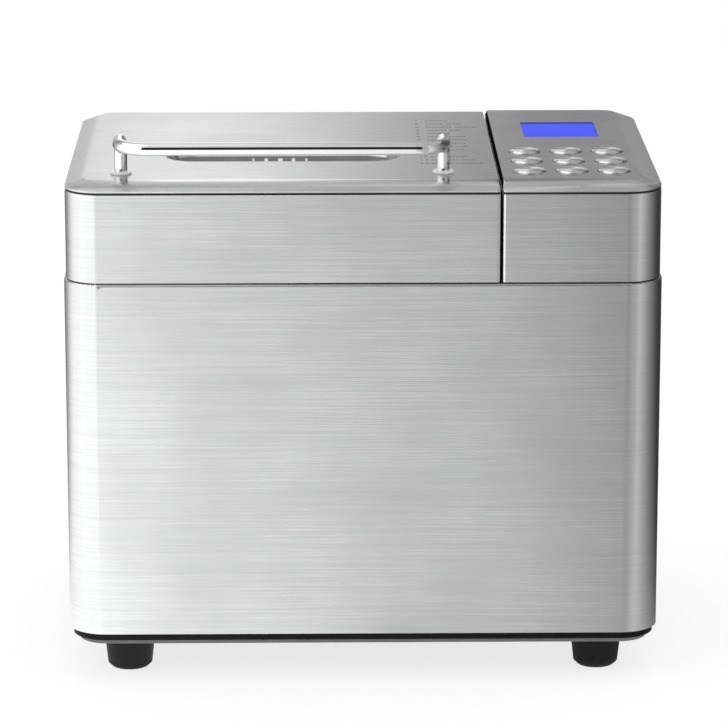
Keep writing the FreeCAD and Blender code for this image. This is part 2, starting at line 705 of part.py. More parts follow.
def make_base_tray():
    body = new_body("base_tray")
    centred_slab(body, "rim_z", "rim_height", "half_width - rim_inset", "half_depth - rim_inset",
                 "body_corner - rim_inset")
    wall = new_sketch(body, offset="shell_z")
    for inset in ("shell_wall + fit_gap", "shell_wall + fit_gap + tray_wall"):
        add_outline(wall, f"{inset} - half_width", f"half_width - ({inset})", f"{inset} - half_depth",
                    f"half_depth - ({inset})", f"body_corner - ({inset})")
    pad(body, wall, "tray_height")
    posts = new_sketch(body, offset="shell_z")
    for x in ("board_x - post_x", "board_x + post_x"):
        for y in ("board_y - post_y", "board_y + post_y"):
            add_circle(posts, x, y, "board_post")
    pad(body, posts, "board_rise")
    hollow(body, "shell_z", "rim_height", "lid_x - well_half", "lid_x + well_half",
           "chamber_mid - well_half", "chamber_mid + well_half", "well_corner")
    holes = new_sketch(body, offset="shell_z")
    for x in ("foot_x", "-foot_x"):
        for y in ("foot_y", "-foot_y"):
            add_circle(holes, x, y, "foot_screw / 2 + running_gap")
    pocket(body, holes, "rim_height")
    keep(body, "base_tray")


def make_bottom_plate():
    body = new_body("bottom_plate")
    plate_x = "half_width - plate_inset"
    plate_y = "half_depth - plate_inset"
    edge = "2 * plate_wall"
    corner = "body_corner - plate_inset"
    centred_slab(body, "foot_height", "plate_drop", plate_x, plate_y, corner)
    hollow(body, "rim_z", "plate_drop - plate_wall", f"{edge} - ({plate_x})", f"{plate_x} - {edge}",
           f"{edge} - ({plate_y})", f"{plate_y} - {edge}", f"{corner} - {edge}")
    holes = new_sketch(body, offset="rim_z")
    for x in ("foot_x", "-foot_x"):
        for y in ("foot_y", "-foot_y"):
            add_circle(holes, x, y, "foot_screw / 2 + fit_gap")
    pocket(body, holes, "plate_drop")
    slot = new_sketch(body, offset="rim_z")
    add_outline(slot, "-(slot_span + slot_width) / 2", "(slot_width - slot_span) / 2", "-slot_length / 2",
                "slot_length / 2", "slot_width * 0.45")
    cut = pocket(body, slot, "plate_drop")
    row(body, cut, slot, "H_Axis", "slot_span", 12)
    keep(body, "bottom_plate")


def make_feet():
    profile = (
        ("foot_recess / 2", "0"),
        ("foot_base / 2 - foot_edge", "0"),
        ("foot_base / 2", "foot_edge"),
        ("foot_top / 2", "foot_height - foot_collar"),
        ("foot_top / 2", "foot_height"),
        ("foot_screw / 2 + fit_gap", "foot_height"),
        ("foot_screw / 2 + fit_gap", "foot_recess_depth"),
        ("foot_recess / 2", "foot_recess_depth"),
    )
    for side, x in (("left", "-foot_x"), ("right", "foot_x")):
        for end, y in (("front", "-foot_y"), ("rear", "foot_y")):
            turned(f"foot_{end}_{side}", profile, x, y)


def make_foot_screws():
    body = new_body("foot_screws")
    profile = new_sketch(body, "XZ_Plane")
    add_polygon(profile, (
        ("0", "foot_recess_depth - screw_head_height"),
        ("foot_screw_head / 2 - screw_break", "foot_recess_depth - screw_head_height"),
        ("foot_screw_head / 2", "foot_recess_depth - screw_head_height + screw_break"),
        ("foot_screw_head / 2", "foot_recess_depth"),
        ("foot_screw / 2", "foot_recess_depth"),
        ("foot_screw / 2", "shell_z + foot_screw_reach"),
        ("0", "shell_z + foot_screw_reach + foot_screw / 2"),
    ))
    screw = revolve(body, profile)
    grid(body, screw, pattern_plan(body), "2 * foot_x", 2, "2 * foot_y", 2)
    place(body, "-foot_x", "-foot_y")
    keep(body, "foot_screws")


def make_outer_shell():
    body = new_body("outer_shell")
    inner = "shell_wall"
    centred_slab(body, "shell_z", "shell_height", "half_width", "half_depth", "body_corner")
    hollow(body, "shell_z", "shell_height - shell_wall", f"{inner} - half_width", f"half_width - {inner}",
           f"{inner} - half_depth", f"half_depth - {inner}", f"body_corner - {inner}", reverse=True)
    lip = "(shell_wall + shell_flange)"
    top = hollow(body, "deck_z", "2 * shell_wall", f"{lip} - half_width", f"half_width - {lip}",
                 f"{lip} - half_depth", f"half_depth - {lip}", f"body_corner - {lip}")
    level = number("deck_z")
    reach_x = number("half_width - 0.75 * shell_flange")
    reach_y = number("half_depth - 0.75 * shell_flange")

    def on_shoulder(middle, edge):
        return abs(middle.z - level) < 0.01 and (abs(middle.x) > reach_x or abs(middle.y) > reach_y)

    round_edges(body, top, "shell_round", on_shoulder)
    slot = new_sketch(body, "XZ_Plane", "0.0 - half_depth")
    add_outline(slot, "gland_x - (vent_span + vent_width) / 2", "gland_x + (vent_width - vent_span) / 2",
                "deck_z - vent_drop - vent_height", "deck_z - vent_drop", "vent_width * 0.45")
    vents = pocket(body, slot, "shell_wall", reverse=True)
    row(body, vents, slot, "H_Axis", "vent_span", 9)
    entry = new_sketch(body, "XZ_Plane", "0.0 - half_depth")
    add_circle(entry, "gland_x", "gland_z", "wall_hole")
    pocket(body, entry, "shell_wall", reverse=True)
    keep(body, "outer_shell")


def make_top_deck():
    body = new_body("top_deck")
    edge = "(shell_wall + fit_gap)"
    lip = "(shell_wall + shell_flange + fit_gap)"
    centred_slab(body, "slab_z", "deck_wall", f"half_width - {edge}", f"half_depth - {edge}",
                 f"body_corner - {edge}")
    centred_slab(body, "flange_z", "shell_wall", f"half_width - {lip}", f"half_depth - {lip}",
                 f"body_corner - {lip}")
    hollow(body, "deck_z", "deck_wall + shell_wall", *chamber_edges("-mouth_lip"))
    hollow(body, "deck_z", "deck_wall + shell_wall", "control_left + duct_margin", "upper_x - duct_margin",
           "-duct_depth / 2", "duct_depth / 2", "duct_corner")
    keep(body, "top_deck")


def make_cord_gland():
    body = new_body("cord_gland")
    profile = new_sketch(body, "XZ_Plane")
    neck = "wall_hole - press_gap"
    inside = "wall_hole + gland_step / 2"
    add_polygon(profile, (
        ("0", "-shell_wall - gland_nut"),
        (inside, "-shell_wall - gland_nut"),
        (inside, "-shell_wall"),
        (neck, "-shell_wall"),
        (neck, "0"),
        ("gland_size / 2", "0"),
        ("gland_size / 2", "gland_lip"),
        ("gland_size / 2 - gland_taper", "gland_length"),
        ("0", "gland_length"),
    ))
    revolve(body, profile)
    bore = new_sketch(body, offset="gland_length")
    add_outline(bore, "-cord_width / 2", "cord_width / 2", "-cord_height / 2", "cord_height / 2",
                "cord_height * 0.48")
    pocket(body, bore, "gland_length + shell_wall + gland_nut")
    body.Placement.Rotation = FreeCAD.Rotation(Vector(1, 0, 0), -90)
    place(body, "gland_x", "half_depth", "gland_z")
    keep(body, "cord_gland")


# Upper section

def lid_outline(sketch, inset):
    """Plan of the lid, moved in by an inset."""
    add_outline(sketch, f"{inset} - upper_x", f"lid_right - ({inset})", f"{inset} - upper_y",
                f"lid_back - ({inset})", (f"upper_corner - ({inset})", "split_round", "split_round",
                                          f"upper_corner - ({inset})"))


def control_outline(sketch, inset):
    """Plan of the control head, moved in by an inset."""
    add_outline(sketch, f"control_left + {inset}", f"upper_x - ({inset})", f"{inset} - upper_y",
                f"upper_y - ({inset})", ("split_round", f"upper_corner - ({inset})",
                                         f"upper_corner - ({inset})", "split_round"))


def lid_flat(sketch, inset):
    """Plan of the flat lid top inside the bevel, moved in by an inset."""
    add_outline(sketch, f"bevel_width + {inset} - upper_x", f"lid_right - split_bevel - {inset}",
                f"bevel_width + {inset} - upper_y", f"lid_back - bevel_width - {inset}",
                (f"upper_corner - bevel_width - {inset}", "split_round", "split_round",
                 f"upper_corner - bevel_width - {inset}"))


def control_flat(sketch, inset):
    """Plan of the flat control top inside the bevel, moved in by an inset."""
    add_outline(sketch, f"control_left + split_bevel + {inset}", f"upper_x - bevel_width - {inset}",
                f"bevel_width + {inset} - upper_y", f"upper_y - bevel_width - {inset}",
                ("split_round", f"upper_corner - bevel_width - {inset}",
                 f"upper_corner - bevel_width - {inset}", "split_round"))


def make_band(label, outline):
    body = new_body(label)
    sketch = new_sketch(body, offset="lid_z")
    outline(sketch, "0")
    outline(sketch, "band_wall")
    pad(body, sketch, "lid_height")
    return keep(body, label)


def make_cap(label, outline, flat):
    body = new_body(label)
    lip = new_sketch(body, offset="cap_z")
    outline(lip, "0")
    pad(body, lip, "cap_lip")
    lower = new_sketch(body, offset="cap_z + cap_lip")
    outline(lower, "0")
    upper = new_sketch(body, offset="cap_top")
    flat(upper, "0")
    loft(body, lower, upper)
    under = new_sketch(body, offset="cap_z")
    outline(under, "cap_wall")
    ceiling = new_sketch(body, offset="cap_under")
    flat(ceiling, "fit_gap")
    loft(body, under, ceiling, cut=True)
    return keep(body, label)


def trim_back(body):
    """Cut away what lies behind and below the hinge axis, so the lid can swing."""
    sketch = new_sketch(body, "YZ_Plane", "half_width")
    add_polygon(sketch, (
        ("hinge_y - hinge_trim", "lid_z - lid_gap"),
        ("lid_back + lid_gap", "lid_z - lid_gap"),
        ("lid_back + lid_gap", "trim_z"),
        ("hinge_y + hinge_trim", "trim_z"),
        ("hinge_y - hinge_trim", "lid_z + frame_wall"),
    ))
    return pocket(body, sketch, "body_width")


def make_lid_band():
    body = make_band("lid_band", lid_outline)
    trim_back(body)


def make_lid_cap():
    body = make_cap("lid_cap", lid_outline, lid_flat)
    hollow(body, "cap_top", "cap_rise", "lid_x - window_length / 2", "lid_x + window_length / 2",
           "window_front", "window_front + window_depth", "window_corner")
    holes = new_sketch(body, offset="cap_top")
    for side in ("-", "+"):
        add_circle(holes, f"lid_x {side} handle_spacing / 2", "handle_y", "handle_screw / 2 + fit_gap")
    pocket(body, holes, "cap_rise")


def make_lid_liner():
    body = new_body("lid_liner")
    skin = "(band_wall + fit_gap)"
    outer = new_sketch(body, offset="lid_z")
    lid_outline(outer, skin)
    pad(body, outer, "lid_height + cap_gap")
    inner = new_sketch(body, offset="cap_z")
    lid_outline(inner, f"{skin} + liner_wall")
    pocket(body, inner, "lid_height + cap_gap - frame_wall")
    slab(body, "lid_z", "cavity_top - lid_z", *chamber_edges("liner_wall"))
    hollow(body, "lid_z", "cavity_top - liner_wall - lid_z", *chamber_edges("0"), reverse=True)
    hollow(body, "cavity_top", "liner_wall", "lid_x - pane_x", "lid_x + pane_x", "pane_middle - pane_y",
           "pane_middle + pane_y", "pane_corner")
    groove = new_sketch(body, offset="lid_z")
    gasket_rings(groove, "fit_gap / 2")
    pocket(body, groove, "frame_wall / 2", reverse=True)
    trim_back(body)
    notch = new_sketch(body, offset="lid_z + frame_wall")
    for side in ("-", "+"):
        middle = f"lid_x {side} hinge_spacing / 2"
        half = "knuckle_width / 2 + knuckle_gap + ear_wall + notch_gap"
        front = "hinge_y - hinge_setback - hinge_foot - notch_gap"
        add_polygon(notch, (
            (f"{middle} - ({half})", front),
            (f"{middle} + ({half})", front),
            (f"{middle} + ({half})", "hinge_y + hinge_trim"),
            (f"{middle} - ({half})", "hinge_y + hinge_trim"),
        ))
    pocket(body, notch, "frame_wall")
    for side in ("-", "+"):
        middle = f"lid_x {side} hinge_spacing / 2"
        arm = new_sketch(body, "YZ_Plane", f"{middle} - knuckle_width / 2")
        add_polygon(arm, (
            ("chamber_back + liner_wall / 2", "lid_z + frame_wall"),
            ("hinge_y - hinge_setback", "lid_z + frame_wall"),
            ("hinge_y", "hinge_z - hinge_eye / 2"),
            ("hinge_y", "hinge_z + hinge_eye / 2"),
            ("chamber_back + liner_wall / 2", "hinge_z + hinge_eye / 2"),
        ))
        pad(body, arm, "knuckle_width")
        eye = new_sketch(body, "YZ_Plane", f"{middle} - knuckle_width / 2")
        add_circle(eye, "hinge_y", "hinge_z", "hinge_eye / 2")
        pad(body, eye, "knuckle_width")
    bore = new_sketch(body, "YZ_Plane", "half_width")
    add_circle(bore, "hinge_y", "hinge_z", "hinge_pin / 2 + running_gap")
    pocket(body, bore, "body_width")
    keep(body, "lid_liner")


def gasket_rings(sketch, play):
    """Two outlines of the seal round the chamber mouth."""
    for inset, sign in (("gasket_inset", "-"), ("gasket_inset + gasket_width", "+")):
        add_outline(sketch, *chamber_edges(f"{inset} {sign} ({play})"))


def make_lid_gasket():
    body = new_body("lid_gasket")
    sketch = new_sketch(body, offset="deck_z + rest_gap")
    gasket_rings(sketch, "0")
    pad(body, sketch, "lid_gap - rest_gap + frame_wall / 2")
    keep(body, "lid_gasket")


def make_lid_reflector():
    body = new_body("lid_reflector")
    top = "cavity_top - liner_wall - fit_gap"
    slab(body, "reflector_z", f"{top} - reflector_z", *chamber_edges("-fit_gap"))
    hollow(body, "reflector_z", f"{top} - chamber_wall - reflector_z",
           *chamber_edges("-fit_gap - chamber_wall"), reverse=True)
    sight_x = "pane_x - reflector_lap"
    sight_y = "pane_y - reflector_lap"
    hollow(body, top, "chamber_wall", f"lid_x - ({sight_x})", f"lid_x + {sight_x}",
           f"pane_middle - ({sight_y})", f"pane_middle + {sight_y}", "pane_corner - reflector_lap")
    keep(body, "lid_reflector")


def make_window():
    frame = new_body("window_frame")
    left = "lid_x - window_length / 2 + fit_gap"
    right = "lid_x + window_length / 2 - fit_gap"
    front = "window_front + fit_gap"
    back = "window_front + window_depth - fit_gap"
    corner = "window_corner - fit_gap"
    low = "glass_under - window_floor"
    slab(frame, low, f"cap_top - ({low})", left, right, front, back, corner)
    ledge = "window_ledge"
    slab(frame, low, f"cap_under - fit_gap - ({low})", f"{left} - {ledge}", f"{right} + {ledge}",
         f"{front} - {ledge}", f"{back} + {ledge}", f"{corner} + {ledge}")
    slope = "window_slope"
    lower = new_sketch(frame, offset="glass_top")
    add_outline(lower, f"{left} + {slope}", f"{right} - {slope}", f"{front} + {slope}", f"{back} - {slope}",
                f"{corner} - {slope}")
    upper = new_sketch(frame, offset="cap_top")
    edge = "window_edge"
    add_outline(upper, f"{left} + {edge}", f"{right} - {edge}", f"{front} + {edge}", f"{back} - {edge}",
                f"{corner} - {edge}")
    loft(frame, lower, upper, cut=True)
    seat = "(window_slope - window_seat)"
    hollow(frame, "glass_top", "glass_wall", f"{left} + {seat}", f"{right} - {seat}", f"{front} + {seat}",
           f"{back} - {seat}", f"{corner} - {seat}")
    sight = "(window_slope + window_sight)"
    hollow(frame, "glass_under", "window_floor", f"{left} + {sight}", f"{right} - {sight}",
           f"{front} + {sight}", f"{back} - {sight}", f"{corner} - {sight}")
    keep(frame, "window_frame")

    glass = new_body("window_glass")
    play = "(window_slope - window_seat + press_gap)"
    slab(glass, "glass_under", "glass_wall", f"{left} + {play}", f"{right} - {play}", f"{front} + {play}",
         f"{back} - {play}", f"{corner} - {play}")
    keep(glass, "window_glass")

    pane = new_body("inner_window")
    slab(pane, "cavity_top - liner_wall - fit_gap", "liner_wall", "lid_x - pane_x + fit_gap",
         "lid_x + pane_x - fit_gap", "pane_middle - pane_y + fit_gap", "pane_middle + pane_y - fit_gap",
         "pane_corner - fit_gap")
    keep(pane, "inner_window")


def make_handle():
    left = "lid_x - handle_spacing / 2"
    right = "lid_x + handle_spacing / 2"
    foot = "cap_top + collar_height"
    tube = bent_tube("lid_handle", (
        (left, "handle_y", foot),
        (left, "handle_y", "handle_z"),
        (left, "handle_front", "handle_z"),
        (right, "handle_front", "handle_z"),
        (right, "handle_y", "handle_z"),
        (right, "handle_y", foot),
    ), ("handle_elbow", "handle_arc", "handle_arc", "handle_elbow"), "handle_tube / 2")
    bores = [cylinder(f"Bore_{side}", x, "handle_y", "cap_top", "handle_screw / 2 + press_gap",
                      "collar_height + handle_screw_reach + bore_end")
             for side, x in (("left", left), ("right", right))]
    both = doc.addObject("Part::MultiFuse", "Handle_bores")
    both.Shapes = bores
    handle = doc.addObject("Part::Cut", "Handle_cut")
    handle.Base = tube
    handle.Tool = both
    keep(handle, "lid_handle")


def paired(label, points):
    """Two turned pieces, one at each handle post."""
    body = new_body(label)
    sketch = new_sketch(body, "XZ_Plane")
    add_polygon(sketch, points)
    piece = revolve(body, sketch)
    row(body, piece, pattern_plan(body), "H_Axis", "handle_spacing", 2)
    place(body, "lid_x - handle_spacing / 2", "handle_y", "cap_top")
    keep(body, label)


def make_handle_fixings():
    hole = "handle_screw / 2 + fit_gap"
    paired("handle_collars", (
        (hole, "0"),
        ("collar_size / 2 - collar_edge", "0"),
        ("collar_size / 2", "collar_edge"),
        ("collar_size / 2", "collar_height - collar_edge"),
        ("collar_size / 2 - collar_edge", "collar_height"),
        (hole, "collar_height"),
    ))
    paired("handle_screws", (
        ("0", "-cap_wall - screw_head_height"),
        ("handle_screw_head / 2 - screw_break", "-cap_wall - screw_head_height"),
        ("handle_screw_head / 2", "screw_break - cap_wall - screw_head_height"),
        ("handle_screw_head / 2", "-cap_wall"),
        ("handle_screw / 2", "-cap_wall"),
        ("handle_screw / 2", "collar_height + handle_screw_reach"),
        ("0", "collar_height + handle_screw_reach"),
    ))


# Hinges

def make_hinges():
    brackets = new_body("hinge_brackets")
    half = "(knuckle_width / 2 + knuckle_gap + ear_wall)"
    width = f"2 * {half}"
    arm = new_sketch(brackets, "YZ_Plane", f"0.0 - {half}")
    add_polygon(arm, (
        ("-hinge_setback - hinge_foot", "0"),
        ("-hinge_setback", "0"),
        ("0", "hinge_rise - hinge_eye / 2"),
        ("0", "hinge_rise"),
        ("-hinge_shoulder", "hinge_rise + hinge_floor"),
    ))
    first = pad(brackets, arm, width)
    eye = new_sketch(brackets, "YZ_Plane", f"0.0 - {half}")
    add_circle(eye, "0", "hinge_rise", "hinge_eye / 2")
    second = pad(brackets, eye, width)
    slot = new_sketch(brackets, "YZ_Plane", "knuckle_width / 2 + knuckle_gap")
    add_outline(slot, "-2 * (hinge_setback + hinge_foot)", "hinge_eye", "hinge_floor",
                "hinge_rise + hinge_eye", "knuckle_gap")
    third = pocket(brackets, slot, "knuckle_width + 2 * knuckle_gap")
    bore = new_sketch(brackets, "YZ_Plane", half)
    add_circle(bore, "0", "hinge_rise", "hinge_pin / 2 + press_gap")
    fourth = pocket(brackets, bore, width)
    pattern = row(brackets, first, pattern_plan(brackets), "H_Axis", "hinge_spacing", 2)
    pattern.Originals = [first, second, third, fourth]
    place(brackets, "lid_x - hinge_spacing / 2", "hinge_y", "deck_z")
    keep(brackets, "hinge_brackets")

    pins = new_body("hinge_pins")
    sketch = new_sketch(pins, "YZ_Plane", f"0.0 - {half} - pin_end")
    add_circle(sketch, "0", "0", "hinge_pin / 2")
    pin = pad(pins, sketch, f"{width} + 2 * pin_end")
    row(pins, pin, pattern_plan(pins), "H_Axis", "hinge_spacing", 2)
    place(pins, "lid_x - hinge_spacing / 2", "hinge_y", "hinge_z")
    keep(pins, "hinge_pins")


# Control head

def button_places():
    """Name, x and y of every button, front row first."""
    for end, step in (("front", 0), ("middle", 1), ("back", 2)):
        for side, shift in (("left", -1), ("centre", 0), ("right", 1)):
            yield f"{end}_{side}", f"control_x + {shift} * button_column", f"button_y + {step} * button_row"


def make_control_cap():
    body = make_cap("control_cap", control_outline, control_flat)
    holes = new_sketch(body, offset="cap_top")
    for _, x, y in button_places():
        add_circle(holes, x, y, "button_size / 2 + button_gap")
    pocket(body, holes, "cap_rise")
    hollow(body, "cap_top", "cap_rise", "control_x - lcd_width / 2", "control_x + lcd_width / 2",
           "lcd_front", "lcd_front + lcd_depth", "lcd_corner")


def make_control_frame():
    body = new_body("control_frame")
    skin = "(band_wall + fit_gap)"
    outer = new_sketch(body, offset="lid_z")
    control_outline(outer, skin)
    pad(body, outer, "lid_height + cap_gap")
    above = new_sketch(body, offset="cap_z")
    control_outline(above, f"{skin} + liner_wall")
    pocket(body, above, "cap_z - panel_top")
    below = new_sketch(body, offset="lid_z")
    control_outline(below, f"{skin} + liner_wall")
    pocket(body, below, "panel_under - lid_z", reverse=True)
    sleeves = new_sketch(body, offset="panel_top")
    for _, x, y in button_places():
        add_circle(sleeves, x, y, "button_stem / 2 + sleeve_wall")
    pad(body, sleeves, "sleeve_height")
    posts = new_sketch(body, offset="panel_under")
    post_x = "board_half - panel_post_inset"
    for x in (f"control_x - ({post_x})", f"control_x + {post_x}"):
        for y in ("board_front + panel_post_inset", "board_back - panel_post_inset"):
            add_circle(posts, x, y, "panel_post")
    pad(body, posts, "panel_under - board_top", reverse=True)
    bores = new_sketch(body, offset="cap_top")
    for _, x, y in button_places():
        add_circle(bores, x, y, "button_stem / 2 + stem_gap")
    pocket(body, bores, "cap_top - panel_under")
    hollow(body, "panel_top", "panel_wall", "control_x - ribbon_half", "control_x + ribbon_half",
           "lcd_front + ribbon_inset", "lcd_front + lcd_depth - ribbon_inset", "panel_post")
    keep(body, "control_frame")


def make_control_board():
    pieces = [box("Control_panel", "control_x", "(board_front + board_back) / 2", "board_top - board_wall",
                  "2 * board_half", "board_back - board_front", "board_wall")]
    for name, x, y in button_places():
        pieces.append(box(f"Switch_{name}", x, y, "board_top", "switch_size", "switch_size",
                          "switch_height"))
        pieces.append(cylinder(f"Plunger_{name}", x, y, "board_top + switch_height", "plunger_size / 2",
                               "plunger_height"))
    pieces.append(box("Display_module", "control_x", "lcd_front + lcd_depth / 2", "panel_top",
                      "lcd_width + 2 * display_edge", "lcd_depth + 2 * display_edge",
                      "lens_under - panel_top"))
    gather("control_board", pieces)


def make_display_lens():
    lens = new_body("lcd_lens")
    slab(lens, "lens_under", "cap_top - lcd_sink - lens_under", "control_x - lcd_width / 2 + fit_gap",
         "control_x + lcd_width / 2 - fit_gap", "lcd_front + fit_gap", "lcd_front + lcd_depth - fit_gap",
         "lcd_corner - fit_gap")
    slab(lens, "lens_under", "lens_flange", "control_x - lcd_width / 2 - lens_lap",
         "control_x + lcd_width / 2 + lens_lap", "lcd_front - lens_lap", "lcd_front + lcd_depth + lens_lap",
         "lcd_corner + lens_lap / 2")
    keep(lens, "lcd_lens")


def make_buttons():
    collar = "button_size / 2 + button_collar"
    under = "-cap_wall - button_gap - button_collar_wall"
    shoulder = "button_rise - button_crown"
    land = "button_size / 2 - button_break - button_land"
    profile = (
        ("0", "stem_end - cap_top"),
        ("button_stem / 2", "stem_end - cap_top"),
        ("button_stem / 2", under),
        (collar, under),
        (collar, "-cap_wall - button_gap"),
        ("button_size / 2", "-cap_wall - button_gap"),
        ("button_size / 2", f"{shoulder} - button_break"),
        ("button_size / 2 - button_break", shoulder),
        (land, shoulder),
        ("button_size / 4", "button_rise - button_crown / 4"),
        ("0", "button_rise"),
    )
    for name, x, y in button_places():
        turned(f"button_{name}", profile, x, y, "cap_top")


# Baking chamber

def make_chamber():
    body = new_body("chamber_liner")
    slab(body, "chamber_floor - chamber_wall", "chamber_height + chamber_wall",
         *chamber_edges("chamber_wall"))
    slab(body, "slab_z - chamber_wall", "chamber_wall", *chamber_edges("chamber_flange"))
    hollow(body, "slab_z", "chamber_height", *chamber_edges("0"))
    shaft = new_sketch(body, offset="chamber_floor")
    add_circle(shaft, "lid_x", "chamber_mid", "bearing_boss + fit_gap")
    pocket(body, shaft, "chamber_wall")
    ends = new_sketch(body, "YZ_Plane", "lid_x + chamber_x + chamber_wall")
    for y in ("chamber_mid - terminal_half", "chamber_mid + terminal_half"):
        add_circle(ends, y, "heater_z", "heater_tube / 2 + fit_gap")
    add_circle(ends, "chamber_mid + sensor_y", "sensor_z", "sensor_probe + fit_gap")
    pocket(body, ends, "chamber_wall")
    keep(body, "chamber_liner")


def make_heater():
    left = "lid_x - chamber_x + heater_inset"
    right = "lid_x + chamber_x - heater_inset"
    end = "lid_x + chamber_x + terminal_reach"
    front = "chamber_front + heater_inset"
    back = "chamber_back - heater_inset"
    near = "chamber_mid - terminal_half"
    far = "chamber_mid + terminal_half"
    path = ((end, near), (right, near), (right, front), (left, front), (left, back), (right, back),
            (right, far), (end, far))
    bends = ("heater_tube", *["chamber_corner"] * 4, "heater_tube")
    tube = bent_tube("heating_element", [(x, y, "heater_z") for x, y in path], bends, "heater_tube / 2")
    keep(tube, "heating_element")

    body = new_body("heater_brackets")
    sketch = new_sketch(body, "YZ_Plane", "(chamber_x - hook_width) / 2")
    seat = "heater_z - heater_tube / 2 - press_gap"
    add_polygon(sketch, (
        ("chamber_y", f"{seat} - hook_height"),
        ("chamber_y", seat),
        ("chamber_y - heater_inset - hook_lip", seat),
        ("chamber_y - heater_inset - hook_lip", f"{seat} - hook_wall"),
        ("chamber_y - hook_wall", f"{seat} - hook_wall"),
        ("chamber_y - hook_wall", f"{seat} - hook_height"),
    ))
    hook = pad(body, sketch, "hook_width")
    mirror(body, [hook], "XZ_Plane")
    across = body.newObject("PartDesign::Mirrored", "heater_bracket_sides")
    across.TransformMode = "Whole shape"
    across.MirrorPlane = (origin_plane(body, "YZ_Plane"), [""])
    body.Tip = across
    place(body, "lid_x", "chamber_mid")
    keep(body, "heater_brackets")


def make_sensor():
    body = new_body("temperature_sensor")
    sketch = new_sketch(body)
    add_polygon(sketch, (
        ("sensor_gap - pan_end_gap", "0"),
        ("sensor_gap + sensor_probe / 2 - pan_end_gap", "sensor_probe"),
        ("chamber_wall", "sensor_probe"),
        ("chamber_wall", "sensor_probe + sensor_flange"),
        ("chamber_wall + sensor_flange", "sensor_probe + sensor_flange"),
        ("chamber_wall + sensor_flange", "sensor_probe"),
        ("chamber_wall + sensor_tail", "sensor_probe"),
        ("chamber_wall + sensor_tail", "0"),
    ))
    revolve(body, sketch, "H_Axis")
    place(body, "lid_x + chamber_x", "chamber_mid + sensor_y", "sensor_z")
    keep(body, "temperature_sensor")


# Bread pan

def pan_outline(sketch, lean, inset):
    """Plan of the pan at a level, leaning in from the rim."""
    move = f"({lean} + {inset})"
    add_outline(sketch, f"{move} - pan_x", f"pan_x - {move}", f"{move} - pan_y", f"pan_y - {move}",
                f"pan_corner - {inset}")


def make_pan():
    body = new_body("bread_pan")
    bottom = new_sketch(body, offset="0")
    pan_outline(bottom, "pan_draft", "0")
    mouth = new_sketch(body, offset="pan_height")
    pan_outline(mouth, "0", "0")
    loft(body, bottom, mouth)
    rim = new_sketch(body, offset="pan_height - pan_rim_wall")
    add_outline(rim, "-pan_x - pan_rim", "pan_x + pan_rim", "-pan_y - pan_rim", "pan_y + pan_rim",
                "pan_corner + pan_rim")
    pad(body, rim, "pan_rim_wall")
    for start in ("-pan_x - bail_ear", "pan_x - ear_root"):
        ear = new_sketch(body, "YZ_Plane", start)
        add_outline(ear, "-ear_half", "ear_half", "pan_height - bail_drop - ear_below", "pan_height",
                    "ear_corner")
        pad(body, ear, "bail_ear + ear_root")
    floor = new_sketch(body, offset="pan_wall")
    pan_outline(floor, "pan_draft", "pan_wall")
    inside = new_sketch(body, offset="pan_height")
    pan_outline(inside, "0", "pan_wall")
    cavity = loft(body, floor, inside, cut=True)
    level = number("pan_wall")
    reach = number("paddle_reach")

    def round_floor(middle, edge):
        return abs(middle.z - level) < 0.01 and math.hypot(middle.x, middle.y) > reach

    round_edges(body, cavity, "pan_floor_round", round_floor)
    hole = new_sketch(body, offset="pan_wall")
    add_circle(hole, "0", "0", "pan_bearing_size / 2")
    pocket(body, hole, "pan_wall")
    for start in ("-pan_x", "pan_x + bail_ear"):
        bore = new_sketch(body, "YZ_Plane", start)
        add_circle(bore, "0", "pan_height - bail_drop", "bail_wire / 2 + running_gap")
        pocket(body, bore, "bail_ear")
    place(body, "lid_x", "chamber_mid", "pan_z")
    keep(body, "bread_pan")

    base = new_body("pan_base")
    ring = new_sketch(base)
    for inset in ("0", "pan_foot_wall"):
        add_outline(ring, f"{inset} - pan_foot_length / 2", f"pan_foot_length / 2 - {inset}",
                    f"{inset} - pan_foot_depth / 2", f"pan_foot_depth / 2 - {inset}",
                    f"pan_foot_corner - {inset}")
    pad(base, ring, "pan_foot")
    place(base, "lid_x", "chamber_mid", "chamber_floor")
    keep(base, "pan_base")

    shaft_hole = "shaft_radius + running_gap"
    turned("pan_bearing", (
        (shaft_hole, "-pan_bearing_flange"),
        ("pan_bearing_size / 2 + pan_bearing_flange", "-pan_bearing_flange"),
        ("pan_bearing_size / 2 + pan_bearing_flange", "0"),
        ("pan_bearing_size / 2 - press_gap", "0"),
        ("pan_bearing_size / 2 - press_gap", "pan_wall + pan_bearing_rise / 2"),
        ("pan_bearing_size / 2 - pan_bearing_rise / 2", "pan_wall + pan_bearing_rise"),
        (shaft_hole, "pan_wall + pan_bearing_rise"),
    ), "lid_x", "chamber_mid", "pan_z")


def make_bail():
    reach = "sqrt(bail_reach * bail_reach + bail_lift * bail_lift)"
    ends = "pan_x + bail_end"
    path = ((f"-({ends})", "0"), ("-bail_x", "0"), ("-bail_x", reach), ("bail_x", reach), ("bail_x", "0"),
            (ends, "0"))
    bends = ("bail_bend", "pan_corner", "pan_corner", "bail_bend")
    wire = bent_tube("pan_bail", [(x, y, "0") for x, y in path], bends, "bail_wire / 2")
    wire.Placement.Rotation = FreeCAD.Rotation(Vector(1, 0, 0), 0)
    bind(wire, "Placement.Rotation.Angle", "atan(bail_lift / bail_reach)")
    place(wire, "lid_x", "chamber_mid", "bail_z")
    keep(wire, "pan_bail")


